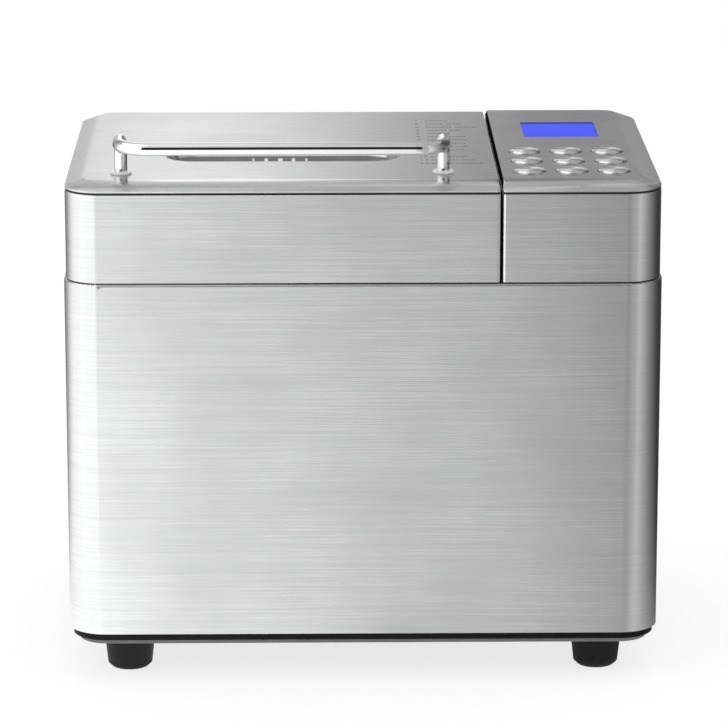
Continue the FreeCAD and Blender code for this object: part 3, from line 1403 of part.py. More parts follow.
def make_paddle():
    top = "pan_foot + pan_wall + shaft_rise"
    turned("pan_shaft", (
        ("0", "coupler_rise"),
        ("shaft_radius", "coupler_rise"),
        ("shaft_radius", f"{top} - shaft_break"),
        ("shaft_radius - shaft_break", top),
        ("0", top),
    ), "lid_x", "chamber_mid", "chamber_floor")

    coupler = new_body("pan_coupler")
    wings = new_sketch(coupler, offset="coupler_rise")
    add_outline(wings, "-wing_reach", "wing_reach", "-wing_half", "wing_half", "wing_half / 3")
    pad(coupler, wings, "coupler_height")
    hub = new_sketch(coupler, offset="coupler_rise")
    add_circle(hub, "0", "0", "shaft_radius + coupler_hub")
    pad(coupler, hub, "coupler_height")
    bore = new_sketch(coupler, offset="coupler_rise + coupler_height")
    add_circle(bore, "0", "0", "shaft_radius + press_gap")
    pocket(coupler, bore, "coupler_height")
    place(coupler, "lid_x", "chamber_mid", "chamber_floor")
    keep(coupler, "pan_coupler")

    paddle = new_body("kneading_paddle")
    hub_radius = "shaft_radius + paddle_hub"
    profile = new_sketch(paddle, "XZ_Plane")
    add_polygon(profile, (
        ("0", "0"),
        (hub_radius, "0"),
        ("shaft_radius + paddle_hub * 0.7", "paddle_height * 0.76"),
        ("shaft_radius + paddle_hub * 0.35", "paddle_height * 0.85"),
        ("0", "paddle_height * 0.85"),
    ))
    revolve(paddle, profile)
    blade = new_sketch(paddle, "XZ_Plane", "0.0 - paddle_wall / 2")
    add_polygon(blade, (
        ("0", "0"),
        ("paddle_reach * 0.86", "0"),
        ("paddle_reach", "paddle_height * 0.15"),
        ("paddle_reach * 0.93", "paddle_height * 0.41"),
        ("paddle_reach * 0.62", "paddle_height * 0.8"),
        ("paddle_reach * 0.36", "paddle_height"),
        ("0", "paddle_height"),
    ))
    pad(paddle, blade, "paddle_wall")
    bore = new_sketch(paddle, offset="0")
    add_circle(bore, "0", "0", "shaft_radius + press_gap")
    pocket(paddle, bore, "paddle_bore", reverse=True)
    place(paddle, "lid_x", "chamber_mid", "paddle_z")
    keep(paddle, "kneading_paddle")


def make_pan_clips():
    body = new_body("pan_clips")
    face = "pan_foot_length / 2 + rest_gap"
    sketch = new_sketch(body, "XZ_Plane", "0.0 - clip_width / 2")
    bend = "pan_foot - clip_bend"
    tip = "pan_foot - clip_bend / 3"
    back = f"{face} + clip_wall"
    add_polygon(sketch, (
        (face, "0"),
        (face, bend),
        (f"{face} + clip_flare", tip),
        (f"{back} + clip_flare", f"{tip} - clip_wall / 2"),
        (back, f"{bend} - clip_wall / 2"),
        (back, "clip_wall"),
        (f"{face} + clip_foot", "clip_wall"),
        (f"{face} + clip_foot", "0"),
    ))
    leaf = pad(body, sketch, "clip_width")
    mirror(body, [leaf], "YZ_Plane")
    place(body, "lid_x", "chamber_mid", "chamber_floor")
    keep(body, "pan_clips")


# Drive

def make_bearing():
    flange = "-chamber_wall"
    low = "-chamber_wall - bearing_height"
    body = turned("bearing_housing", (
        ("bush_radius", low),
        ("bearing_boss", low),
        ("bearing_boss", f"{flange} - bearing_wall"),
        ("bearing_flange", f"{flange} - bearing_wall"),
        ("bearing_flange", flange),
        ("bearing_boss", flange),
        ("bearing_boss", "bearing_rise"),
        ("bush_radius", "bearing_rise"),
    ), "lid_x", "chamber_mid", "chamber_floor")
    hole = new_sketch(body, offset=flange)
    add_circle(hole, "bearing_flange - bearing_edge", "0", "bearing_screw")
    cut = pocket(body, hole, "bearing_wall")
    ring_of(body, cut, hole, 3)

    bushes = new_body("bearing_bushes")
    sketch = new_sketch(bushes, "XZ_Plane")
    for bottom, top in ((low, f"{low} + bush_length"), ("bearing_rise - bush_length", "bearing_rise")):
        add_polygon(sketch, (
            ("shaft_radius + running_gap", bottom),
            ("bush_radius - press_gap", bottom),
            ("bush_radius - press_gap", top),
            ("shaft_radius + running_gap", top),
        ))
    revolve(bushes, sketch)
    place(bushes, "lid_x", "chamber_mid", "chamber_floor")
    keep(bushes, "bearing_bushes")


def pulley_rim(radius, low, high, count=4):
    """Outer profile of a ribbed pulley, from the lower edge to the upper edge."""
    points = [(radius, low)]
    pitch = f"((({high}) - ({low}) - 2 * rim_land) / {count})"
    for step in range(count):
        bottom = f"({low}) + rim_land + {step} * {pitch}"
        points.append((radius, bottom))
        points.append((f"({radius}) - groove_depth", f"{bottom} + {pitch} / 2"))
    points.append((radius, f"({high}) - rim_land"))
    points.append((radius, high))
    return points


def make_drive():
    turned("drive_shaft", (
        ("0", "pulley_z - shaft_tail"),
        ("shaft_radius - shaft_break", "pulley_z - shaft_tail"),
        ("shaft_radius", "pulley_z - shaft_tail + shaft_break"),
        ("shaft_radius", "chamber_floor + dog_rise + dog_wall"),
        ("0", "chamber_floor + dog_rise + dog_wall"),
    ), "lid_x", "chamber_mid")

    web_low = "(pulley_width - web_wall) / 2"
    web_high = "(pulley_width + web_wall) / 2"
    hub = "shaft_radius + pulley_hub"
    inner = "drive_radius - pulley_rim_wall"
    pulley = turned("drive_pulley", (
        ("shaft_radius + press_gap", "0"),
        (hub, "0"),
        (hub, web_low),
        (inner, web_low),
        (inner, "0"),
        *pulley_rim("drive_radius", "0", "pulley_width"),
        (inner, "pulley_width"),
        (inner, web_high),
        (hub, web_high),
        (hub, "pulley_width"),
        ("shaft_radius + press_gap", "pulley_width"),
    ), "lid_x", "chamber_mid", "pulley_z")
    hole = new_sketch(pulley, offset=web_high)
    add_circle(hole, f"({hub} + {inner}) / 2", "0", "web_hole")
    cut = pocket(pulley, hole, "web_wall")
    ring_of(pulley, cut, hole, 6)

    dog = new_body("drive_dog")
    disc = new_sketch(dog, offset="dog_rise")
    add_circle(disc, "0", "0", "wing_reach")
    pad(dog, disc, "dog_wall")
    prongs = new_sketch(dog, offset="dog_rise + dog_wall")
    flank = "(wing_half + rest_gap)"
    for sign in ("", "-"):
        near = f"{sign}{flank}"
        far = f"{sign}({flank} + prong_wall)"
        add_polygon(prongs, (
            (f"{sign}wing_reach * 0.5", near),
            (f"{sign}wing_reach * 0.9", near),
            (f"{sign}wing_reach * 0.72", far),
            (f"{sign}wing_reach * 0.5", far),
        ))
    pad(dog, prongs, "coupler_height")
    bore = new_sketch(dog, offset="dog_rise + dog_wall")
    add_circle(bore, "0", "0", "shaft_radius + press_gap")
    pocket(dog, bore, "dog_wall")
    place(dog, "lid_x", "chamber_mid", "chamber_floor")
    keep(dog, "drive_dog")


def add_belt_loop(sketch, grow):
    """Belt line round both pulleys, moved out from their rims."""
    big = f"drive_radius + belt_gap + {grow}"
    small = f"motor_radius + belt_gap + {grow}"
    x_big = number("lid_x")
    x_small = number("motor_x")
    lean = math.acos((number(big) - number(small)) / (x_small - x_big))
    first = sketch.GeometryCount
    normal = Vector(0, 0, 1)
    wheel = Part.Circle(Vector(x_big, 0, 0), normal, number(big))
    pinion = Part.Circle(Vector(x_small, 0, 0), normal, number(small))

    def rim(circle, angle):
        return circle.value(angle % (2 * math.pi))

    sketch.addGeometry(Part.ArcOfCircle(wheel, lean, 2 * math.pi - lean))
    sketch.addGeometry(Part.LineSegment(rim(wheel, -lean), rim(pinion, -lean)))
    sketch.addGeometry(Part.ArcOfCircle(pinion, -lean, lean))
    sketch.addGeometry(Part.LineSegment(rim(pinion, lean), rim(wheel, lean)))
    for step in range(4):
        sketch.addConstraint(Sketcher.Constraint("Tangent", first + step, 2, first + (step + 1) % 4, 1))
    for index, x, radius in ((first, "lid_x", big), (first + 2, "motor_x", small)):
        limit(sketch, "DistanceX", -1, 1, index, 3, text=x)
        limit(sketch, "DistanceY", -1, 1, index, 3, text="0")
        limit(sketch, "Radius", index, text=radius)


def make_belt():
    body = new_body("drive_belt")
    sketch = new_sketch(body, offset="pulley_z + (pulley_width - belt_width) / 2")
    add_belt_loop(sketch, "0")
    add_belt_loop(sketch, "belt_wall")
    pad(body, sketch, "belt_width")
    place(body, "0", "chamber_mid")
    keep(body, "drive_belt")


def make_motor():
    bracket = new_body("motor_bracket")
    wall = "bracket_wall"
    reach = "motor_body / 2 + bracket_clear"
    foot = f"({reach} + bracket_foot)"
    sketch = new_sketch(bracket, "YZ_Plane", "0.0 - motor_body / 2 - bracket_edge")
    half = [(foot, "0"), (foot, wall), (reach, wall), (reach, f"bracket_rise + {wall}")]
    inner = [(f"{reach} - {wall}", "bracket_rise"), (f"{reach} - {wall}", "0")]
    left = [(f"-({y})", z) for y, z in reversed(half)]
    under_left = [(f"-({y})", z) for y, z in reversed(inner)]
    add_polygon(sketch, half + left + under_left + inner)
    pad(bracket, sketch, "motor_body + 2 * bracket_edge")
    hole = new_sketch(bracket, offset=f"bracket_rise + {wall}")
    add_circle(hole, "0", "0", "motor_boss + fit_gap")
    pocket(bracket, hole, wall)
    place(bracket, "motor_x", "chamber_mid", "shell_z")
    keep(bracket, "motor_bracket")

    shaft_hole = "motor_shaft_radius + running_gap"
    housing = turned("motor_housing", (
        (shaft_hole, "-motor_boss_rise"),
        ("motor_boss", "-motor_boss_rise"),
        ("motor_boss", "0"),
        ("motor_body / 2 - motor_round / 2", "0"),
        ("motor_body / 2", "motor_round / 2"),
        ("motor_body / 2", "motor_height - motor_round"),
        ("motor_body / 2 - motor_round", "motor_height"),
        ("motor_boss", "motor_height"),
        ("motor_boss", "motor_height + motor_boss_rise"),
        (shaft_hole, "motor_height + motor_boss_rise"),
    ), "motor_x", "chamber_mid", "motor_z")
    stack = new_sketch(housing, offset="motor_height * 0.3")
    stack_half = "motor_body / 2 + stack_edge"
    for inset in ("0", "stack_wall"):
        near = f"{inset} - ({stack_half})"
        far = f"{stack_half} - {inset}"
        add_outline(stack, near, far, near, far, f"stack_corner - {inset}")
    pad(housing, stack, "motor_height * 0.4")

    turned("motor_shaft", (
        ("0", "pulley_z - shaft_tail"),
        ("motor_shaft_radius", "pulley_z - shaft_tail"),
        ("motor_shaft_radius", "motor_z + motor_height + motor_tail"),
        ("0", "motor_z + motor_height + motor_tail"),
    ), "motor_x", "chamber_mid")
    bore = "motor_shaft_radius + press_gap"
    turned("motor_pulley", (
        (bore, "0"),
        *pulley_rim("motor_radius", "0", "pulley_width"),
        (bore, "pulley_width"),
    ), "motor_x", "chamber_mid", "pulley_z")


def make_power_board():
    top = "shell_z + board_rise + board_wall"
    across = "power_board_width"
    along = "power_board_depth"
    gather("power_board", [
        box("Power_panel", "board_x", "board_y", "shell_z + board_rise", across, along, "board_wall"),
        box("Relay", f"board_x - 0.3 * {across}", "board_y", top, "relay_width", "relay_height",
            "relay_height"),
        box("Terminal_block", f"board_x + 0.35 * {across}", f"board_y - 0.19 * {along}", top,
            "terminal_width", "terminal_depth", "terminal_height"),
        box("Motor_capacitor", f"board_x + 0.02 * {across}", f"board_y + 0.14 * {along}", top,
            "capacitor_width", "capacitor_depth", "capacitor_height"),
        cylinder("Filter_capacitor", f"board_x + 0.28 * {across}", f"board_y + 0.33 * {along}", top,
                 "can_radius", "can_height"),
        cylinder("Smoothing_capacitor", f"board_x - 0.08 * {across}", f"board_y - 0.33 * {along}", top,
                 "can_radius", "can_height"),
    ])


make_base_tray()
make_bottom_plate()
make_feet()
make_foot_screws()
make_outer_shell()
make_top_deck()
make_cord_gland()
make_lid_band()
make_lid_cap()
make_lid_liner()
make_lid_gasket()
make_lid_reflector()
make_window()
make_handle()
make_handle_fixings()
make_hinges()
make_band("control_band", control_outline)
make_control_cap()
make_control_frame()
make_control_board()
make_display_lens()
make_buttons()
make_chamber()
make_heater()
make_sensor()
make_pan()
make_bail()
make_paddle()
make_pan_clips()
make_bearing()
make_drive()
make_belt()
make_motor()
make_power_board()
doc.recompute()

# Every object must be sound before anything is written
for item in doc.Objects:
    if "Invalid" in item.State or "Error" in item.State:
        raise RuntimeError(f"{item.Label} failed: {item.State}")
for label, item in NODES:
    if item.Shape.isNull() or not item.Shape.isValid() or not item.Shape.Solids:
        raise RuntimeError(f"{label} has no sound shape")

os.makedirs("parts", exist_ok=True)
for label, item in NODES:
    item.Shape.exportStep(f"parts/{label}.step")
print(f"{len(NODES)} pieces written")
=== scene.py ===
"""Looks of a household bread machine: brushed steel, chrome, rubber, glass and a studio stage."""
import json
import math

import bpy
from bpy.props import FloatProperty, FloatVectorProperty, IntProperty, PointerProperty
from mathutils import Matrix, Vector


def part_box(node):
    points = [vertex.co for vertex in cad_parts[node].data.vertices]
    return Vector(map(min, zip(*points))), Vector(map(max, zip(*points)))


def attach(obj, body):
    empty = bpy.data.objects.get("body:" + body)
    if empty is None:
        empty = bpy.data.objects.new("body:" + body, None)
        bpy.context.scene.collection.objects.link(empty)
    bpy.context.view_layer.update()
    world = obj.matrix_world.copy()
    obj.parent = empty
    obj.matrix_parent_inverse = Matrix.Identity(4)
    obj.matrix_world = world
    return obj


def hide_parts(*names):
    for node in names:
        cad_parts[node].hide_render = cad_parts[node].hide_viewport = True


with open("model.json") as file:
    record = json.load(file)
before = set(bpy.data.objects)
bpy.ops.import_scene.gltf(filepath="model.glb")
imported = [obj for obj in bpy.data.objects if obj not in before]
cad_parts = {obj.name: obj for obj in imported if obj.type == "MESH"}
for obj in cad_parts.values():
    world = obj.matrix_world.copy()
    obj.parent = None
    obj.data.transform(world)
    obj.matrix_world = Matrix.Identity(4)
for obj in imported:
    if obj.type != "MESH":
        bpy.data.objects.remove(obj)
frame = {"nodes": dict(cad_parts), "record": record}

bl_info = {
    "name": "Bread machine looks",
    "version": (1, 0, 0),
    "blender": (4, 5, 0),
    "location": "3D View > Sidebar > Bread machine",
    "description": "Dresses the bread machine's pieces and sets its studio",
    "category": "Object",
}

MM = 0.001
WELD = 0.001 * MM
STROKE_SHARE = 0.62
FONT_PER_HEIGHT = 1.4
WORN_STEEL = (0.92, 0.92, 0.92, 1)
RING_SCALE = 5200.0

# Height of a board's face over its lowest point, and the height over which its blocks' colour comes in
BOARD_TOP = 1.9 * MM
BOARD_FADE = 0.1 * MM

# Half the width of the soft strip along the caps' front crease, and the length of its fading ends
CREASE = 5 * MM
CREASE_FADE = 40 * MM

# Colour sockets of a Mix node, which share their names with its other sockets
MIX_FIRST = 6
MIX_SECOND = 7
MIX_RESULT = 2

BODY_OF = {node: body for body, nodes in frame["record"]["behaviour"]["bodies"].items() for node in nodes}
BUTTONS = [f"button_{row}_{side}" for row in ("front", "middle", "back")
           for side in ("left", "centre", "right")]
FEET = [f"foot_{end}_{side}" for end in ("front", "rear") for side in ("left", "right")]


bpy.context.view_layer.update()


# Settings

class SteelSettings(bpy.types.PropertyGroup):
    """Brushed steel of the shell, the bands and the caps."""

    dark: FloatVectorProperty(name="Dark streak", description="Colour between the brush lines",
                              subtype="COLOR", size=4, default=(0.67, 0.675, 0.68, 1), min=0, max=1)
    light: FloatVectorProperty(name="Light streak", description="Colour on the brush lines", subtype="COLOR",
                               size=4, default=(0.78, 0.78, 0.78, 1), min=0, max=1)
    edge: FloatProperty(name="Edge", description="Width of the broken edges of the sheet", unit="LENGTH",
                        default=0.35 * MM, min=0)
    top_edge: FloatProperty(name="Top edge", description="Width of the broken edges of the caps",
                            unit="LENGTH", default=0.6 * MM, min=0)


class PrintSettings(bpy.types.PropertyGroup):
    """Printed list, button marks and window marks."""

    ink: FloatVectorProperty(name="Ink", description="Colour of the print", subtype="COLOR", size=4,
                             default=(0.075, 0.075, 0.08, 1), min=0, max=1)
    rows: IntProperty(name="Rows", description="Rows of the printed list", default=14, min=1)
    row_pitch: FloatProperty(name="Row pitch", description="Distance between rows", unit="LENGTH",
                             default=11.2 * MM, min=0)
    letter: FloatProperty(name="Letter height", description="Height of the numbers", unit="LENGTH",
                          default=4.2 * MM, min=0)
    stroke_pitch: FloatProperty(name="Stroke pitch", description="Distance between the strokes of a word",
                                unit="LENGTH", default=1.9 * MM, min=0.1 * MM)
    depth: FloatProperty(name="Print depth", description="Thickness of the print", unit="LENGTH",
                         default=0.06 * MM, min=0)


class StageSettings(bpy.types.PropertyGroup):
    """Camera, lamps, room light and floor of the studio."""

    camera_place: FloatVectorProperty(name="Camera", description="Place of the camera", subtype="TRANSLATION",
                                      unit="LENGTH", default=(-0.0342, -2.5542, 0.8053))
    camera_pitch: FloatProperty(name="Pitch", description="How far the camera looks down", subtype="ANGLE",
                                default=math.radians(13.912))
    camera_yaw: FloatProperty(name="Yaw", description="How far the camera looks to the right",
                              subtype="ANGLE", default=math.radians(0.812))
    lens: FloatProperty(name="Lens", description="Focal length in millimetres", default=200.3, min=1)
    key_power: FloatProperty(name="Key lamp", description="Power of the left lamp in watts", default=9, min=0)
    top_power: FloatProperty(name="Top lamp", description="Power of the upper lamp in watts",
                             default=7, min=0)
    ambient: FloatProperty(name="Ambient", description="Light of the room on matt surfaces",
                           default=1.0, min=0)
    floor: FloatVectorProperty(name="Floor", description="Colour of the floor", subtype="COLOR", size=4,
                               default=(1, 1, 1, 1), min=0, max=1)
    floor_white: FloatProperty(name="Floor white", default=0.78, min=0, max=1,
                               description="Share of plain white in the floor that is seen")


# Node helpers

def add(tree, kind, inputs=None, **settings):
    """A node with its settings and its unlinked inputs."""
    made = tree.nodes.new(kind)
    for name, value in settings.items():
        setattr(made, name, value)
    for name, value in (inputs or {}).items():
        made.inputs[name].default_value = value
    return made


def new_group(name, inputs, outputs):
    """An empty shader node group with named sockets, and its two end nodes."""
    group = bpy.data.node_groups.new(name, "ShaderNodeTree")
    for label, kind, value in inputs:
        socket = group.interface.new_socket(name=label, in_out="INPUT", socket_type=kind)
        if value is not None:
            socket.default_value = value
    for label, kind in outputs:
        group.interface.new_socket(name=label, in_out="OUTPUT", socket_type=kind)
    return group, add(group, "NodeGroupInput"), add(group, "NodeGroupOutput")


def use_group(tree, group, vector=None, **values):
    """A group placed in a material with its own values."""
    made = add(tree, "ShaderNodeGroup", node_tree=group)
    for name, value in values.items():
        made.inputs[name.replace("_", " ").capitalize()].default_value = value
    if vector is not None:
        tree.links.new(vector, made.inputs["Vector"])
    return made


def math_node(tree, operation, first, second):
    """A Math node whose two sides are sockets or numbers."""
    made = add(tree, "ShaderNodeMath", operation=operation)
    for socket, value in zip(made.inputs, (first, second)):
        if isinstance(value, (int, float)):
            socket.default_value = value
        else:
            tree.links.new(value, socket)
    return made.outputs[0]


def spread(tree, value, low, high, start=0.0, stop=1.0):
    """A value moved from one range to another."""
    made = add(tree, "ShaderNodeMapRange",
               {"From Min": start, "From Max": stop, "To Min": low, "To Max": high})
    tree.links.new(value, made.inputs["Value"])
    return made.outputs["Result"]


def mix_colour(tree, factor, first, second):
    """A colour between two, each a socket or four numbers."""
    made = add(tree, "ShaderNodeMix", data_type="RGBA")
    tree.links.new(factor, made.inputs["Factor"])
    for socket, value in zip((made.inputs[MIX_FIRST], made.inputs[MIX_SECOND]), (first, second)):
        if isinstance(value, bpy.types.NodeSocket):
            tree.links.new(value, socket)
        else:
            socket.default_value = value
    return made.outputs[MIX_RESULT]


def object_vector(tree, scale=(1, 1, 1), location=(0, 0, 0), rotation=(0, 0, 0), kind="POINT"):
    """Object coordinates in metres through a Mapping node."""
    coordinates = add(tree, "ShaderNodeTexCoord")
    mapping = add(tree, "ShaderNodeMapping", {"Scale": scale, "Location": location, "Rotation": rotation},
                  vector_type=kind)
    tree.links.new(coordinates.outputs["Object"], mapping.inputs["Vector"])
    return mapping.outputs["Vector"]


def noise(tree, vector, scale, detail, roughness):
    made = add(tree, "ShaderNodeTexNoise", {"Scale": scale, "Detail": detail, "Roughness": roughness})
    tree.links.new(vector, made.inputs["Vector"])
    return made.outputs["Fac"]


def bump(tree, shader, height, strength, distance=0.1 * MM):
    """A Bump node between a height and the shader's normal."""
    made = add(tree, "ShaderNodeBump", {"Strength": strength, "Distance": distance})
    tree.links.new(height, made.inputs["Height"])
    tree.links.new(made.outputs["Normal"], shader.inputs["Normal"])


def empty_material(name):
    """A material with nothing but its output node."""
    material = bpy.data.materials.new(name)
    material.use_nodes = True
    tree = material.node_tree
    tree.nodes.clear()
    return material, tree, add(tree, "ShaderNodeOutputMaterial")


def start_material(name, **constants):
    """A material with a Principled shader whose constant inputs are set on its own sockets."""
    material, tree, output = empty_material(name)
    shader = add(tree, "ShaderNodeBsdfPrincipled")
    for label, value in constants.items():
        shader.inputs[label.replace("_", " ")].default_value = value
    tree.links.new(shader.outputs["BSDF"], output.inputs["Surface"])
    return material, tree, shader


def feed(tree, shader, **sockets):
    """Links sockets to the shader's inputs, named with underscores for spaces."""
    for label, socket in sockets.items():
        tree.links.new(socket, shader.inputs[label.replace("_", " ")])


def seen_rays(tree):
    """1 for rays of the camera, of reflections and through glass, and 0 for light on matt surfaces."""
    rays = add(tree, "ShaderNodeLightPath")
    seen = math_node(tree, "MAXIMUM", rays.outputs["Is Camera Ray"], rays.outputs["Is Glossy Ray"])
    return math_node(tree, "MAXIMUM", seen, rays.outputs["Is Transmission Ray"])


# Shared effects

def make_brush_lines():
    """Long and short brush lines, which run along the axes that the vector is scaled on least."""
    group, start, end = new_group(
        "Brush lines", [("Vector", "NodeSocketVector", None), ("Fine", "NodeSocketFloat", 4.0)],
        [("Streak", "NodeSocketFloat"), ("Height", "NodeSocketFloat")])
    long_lines = noise(group, start.outputs["Vector"], scale=1.0, detail=4.0, roughness=0.6)
    stretched = add(group, "ShaderNodeVectorMath", operation="SCALE")
    group.links.new(start.outputs["Vector"], stretched.inputs[0])
    group.links.new(start.outputs["Fine"], stretched.inputs["Scale"])
    short_lines = noise(group, stretched.outputs["Vector"], scale=1.0, detail=2.0, roughness=0.6)
    long_share = 0.62
    both = math_node(group, "ADD", math_node(group, "MULTIPLY", long_lines, long_share),
                     math_node(group, "MULTIPLY", short_lines, 1 - long_share))
    group.links.new(spread(group, both, 0.0, 1.0, 0.32, 0.68), end.inputs["Streak"])
    group.links.new(both, end.inputs["Height"])
    return group


def make_mottle():
    """Soft uneven patches, from Low to High."""
    group, start, end = new_group(
        "Mottle", [("Vector", "NodeSocketVector", None), ("Scale", "NodeSocketFloat", 60.0),
                   ("Low", "NodeSocketFloat", 0.0), ("High", "NodeSocketFloat", 1.0)],
        [("Value", "NodeSocketFloat")])
    patches = add(group, "ShaderNodeTexNoise", {"Detail": 4.0, "Roughness": 0.6})
    group.links.new(start.outputs["Vector"], patches.inputs["Vector"])
    group.links.new(start.outputs["Scale"], patches.inputs["Scale"])
    made = add(group, "ShaderNodeMapRange", {"From Min": 0.3, "From Max": 0.7})
    group.links.new(patches.outputs["Fac"], made.inputs["Value"])
    group.links.new(start.outputs["Low"], made.inputs["To Min"])
    group.links.new(start.outputs["High"], made.inputs["To Max"])
    group.links.new(made.outputs["Result"], end.inputs["Value"])
    return group


def make_edge_wear():
    """A mask along edges, broken up by noise."""
    group, start, end = new_group(
        "Edge wear", [("Vector", "NodeSocketVector", None), ("Radius", "NodeSocketFloat", 0.6 * MM),
                      ("Amount", "NodeSocketFloat", 1.0)], [("Mask", "NodeSocketFloat")])
    rounded = add(group, "ShaderNodeBevel", samples=4)
    group.links.new(start.outputs["Radius"], rounded.inputs["Radius"])
    surface = add(group, "ShaderNodeNewGeometry")
    facing = add(group, "ShaderNodeVectorMath", operation="DOT_PRODUCT")
    group.links.new(rounded.outputs["Normal"], facing.inputs[0])
    group.links.new(surface.outputs["Normal"], facing.inputs[1])
    edge = spread(group, facing.outputs["Value"], 1.0, 0.0, 0.75, 0.99)
    patches = noise(group, start.outputs["Vector"], scale=300.0, detail=4.0, roughness=0.65)
    breaks = spread(group, patches, 0.15, 1.0, 0.35, 0.6)
    worn = math_node(group, "MULTIPLY", edge, breaks)
    group.links.new(math_node(group, "MULTIPLY", worn, start.outputs["Amount"]), end.inputs["Mask"])
    return group


def make_moulded_skin():
    """Fine grains, as on moulded plastic, rubber and cast metal."""
    group, start, end = new_group(
        "Moulded skin", [("Vector", "NodeSocketVector", None), ("Scale", "NodeSocketFloat", 2500.0)],
        [("Height", "NodeSocketFloat"), ("Speck", "NodeSocketFloat")])
    grains = add(group, "ShaderNodeTexVoronoi", feature="SMOOTH_F1")
    group.links.new(start.outputs["Vector"], grains.inputs["Vector"])
    group.links.new(start.outputs["Scale"], grains.inputs["Scale"])
    group.links.new(grains.outputs["Distance"], end.inputs["Height"])
    group.links.new(spread(group, grains.outputs["Distance"], 0.0, 1.0, 0.2, 0.8), end.inputs["Speck"])
    return group


BRUSH_LINES = make_brush_lines()
MOTTLE = make_mottle()
EDGE_WEAR = make_edge_wear()
MOULDED_SKIN = make_moulded_skin()


# Finishes

def front_crease(tree, vector, line, reach):
    """A mask along the front crease of the caps, which ends short of the round corners."""
    split = add(tree, "ShaderNodeSeparateXYZ")
    tree.links.new(vector, split.inputs[0])
    rise = spread(tree, split.outputs["Y"], 0.0, 1.0, line - CREASE, line - 0.5 * CREASE)
    fall = spread(tree, split.outputs["Y"], 1.0, 0.0, line + 0.5 * CREASE, line + CREASE)
    out = math_node(tree, "ABSOLUTE", split.outputs["X"], 0.0)
    ends = spread(tree, out, 1.0, 0.0, reach - CREASE_FADE, reach)
    return math_node(tree, "MULTIPLY", math_node(tree, "MULTIPLY", rise, fall), ends)


def brushed_steel(name, scale, axis, settings, crease=None):
    """Satin sheet whose brush lines run along the axes of the least scale, smoother along a crease."""
    material, tree, shader = start_material(name, Metallic=1.0, Anisotropic=0.95, Anisotropic_Rotation=0.25)
    lines = use_group(tree, BRUSH_LINES, object_vector(tree, scale), fine=3.3)
    plain = object_vector(tree)
    wear = use_group(tree, EDGE_WEAR, plain, radius=0.9 * MM, amount=0.5)
    body = mix_colour(tree, lines.outputs["Streak"], settings.dark, settings.light)
    colour = mix_colour(tree, wear.outputs["Mask"], body, WORN_STEEL)
    patches = use_group(tree, MOTTLE, plain, scale=14.0, low=-0.03, high=0.03)
    streaks = spread(tree, lines.outputs["Streak"], 0.32, 0.26)
    grain = math_node(tree, "ADD", streaks, patches.outputs["Value"])
    if crease is not None:
        smooth = spread(tree, front_crease(tree, plain, *crease), 1.0, 0.42)
        grain = math_node(tree, "MULTIPLY", grain, smooth)
    tangent = add(tree, "ShaderNodeTangent", direction_type="RADIAL", axis=axis)
    feed(tree, shader, Base_Color=colour, Roughness=grain, Tangent=tangent.outputs["Tangent"])
    bump(tree, shader, lines.outputs["Height"], strength=0.06)
    return material


def plain_finish(name, dark, light, rough, metallic=0.0, patch=60.0, skin=2500.0, depth=0.1, wear=0.0,
                 worn=None, **constants):
    """Uneven colour and gloss with a fine skin, and worn edges where asked for."""
    material, tree, shader = start_material(name, Metallic=metallic, **constants)
    vector = object_vector(tree)
    patches = use_group(tree, MOTTLE, vector, scale=patch)
    colour = mix_colour(tree, patches.outputs["Value"], (*dark, 1), (*light, 1))
    if wear:
        edges = use_group(tree, EDGE_WEAR, vector, radius=0.7 * MM, amount=wear)
        colour = mix_colour(tree, edges.outputs["Mask"], colour, worn)
    feed(tree, shader, Base_Color=colour, Roughness=spread(tree, patches.outputs["Value"], *rough))
    grains = use_group(tree, MOULDED_SKIN, vector, scale=skin)
    bump(tree, shader, grains.outputs["Height"], strength=depth, distance=0.2 * MM)
    return material


def dress(material, *nodes):
    """Gives CAD nodes a material."""
    for node in nodes:
        frame["nodes"][node].material_slots[0].material = material


# Mesh helpers

def object_mode():
    bpy.ops.object.mode_set(mode="OBJECT")


def deselect():
    if bpy.context.object and bpy.context.object.mode != "OBJECT":
        object_mode()
    bpy.ops.object.select_all(action="DESELECT")


def activate(piece):
    deselect()
    piece.select_set(True)
    bpy.context.view_layer.objects.active = piece


def edit(piece):
    activate(piece)
    bpy.ops.object.mode_set(mode="EDIT")
    bpy.ops.mesh.select_all(action="SELECT")


def apply_place(piece):
    activate(piece)
    bpy.ops.object.transform_apply(location=True, rotation=True, scale=True)


def put(piece, place):
    """Moves a piece to its place and keeps its origin at the world's."""
    piece.location = place
    apply_place(piece)
    return piece


def apply_modifier(piece, kind, **settings):
    activate(piece)
    made = piece.modifiers.new(kind.title(), kind)
    for name, value in settings.items():
        setattr(made, name, value)
    bpy.ops.object.modifier_apply(modifier=made.name)


def own_copy(piece, name):
    """A copy with its own mesh."""
    made = piece.copy()
    made.data = piece.data.copy()
    made.name = name
    bpy.context.collection.objects.link(made)
    return made


def round_corners(piece):
    """Rounds the facets of the plan corners and of round holes."""
    low = math.radians(6)
    high = math.radians(30)
    least_side = 0.1
    edit(piece)
    bpy.ops.mesh.select_mode(type="EDGE")
    bpy.ops.mesh.select_all(action="DESELECT")
    object_mode()
    sides = {}
    for face in piece.data.polygons:
        for key in face.edge_keys:
            sides.setdefault(key, []).append(face.normal.to_2d())
    for line in piece.data.edges:
        found = sides.get(line.key, ())
        if len(found) == 2 and min(found[0].length, found[1].length) > least_side:
            line.select = low < found[0].angle(found[1]) < high
    bpy.ops.object.mode_set(mode="EDIT")
    bpy.ops.mesh.bevel(offset_type="PERCENT", offset_pct=38, segments=3, affect="EDGES", clamp_overlap=True)
    bpy.ops.mesh.select_mode(type="VERT")
    object_mode()


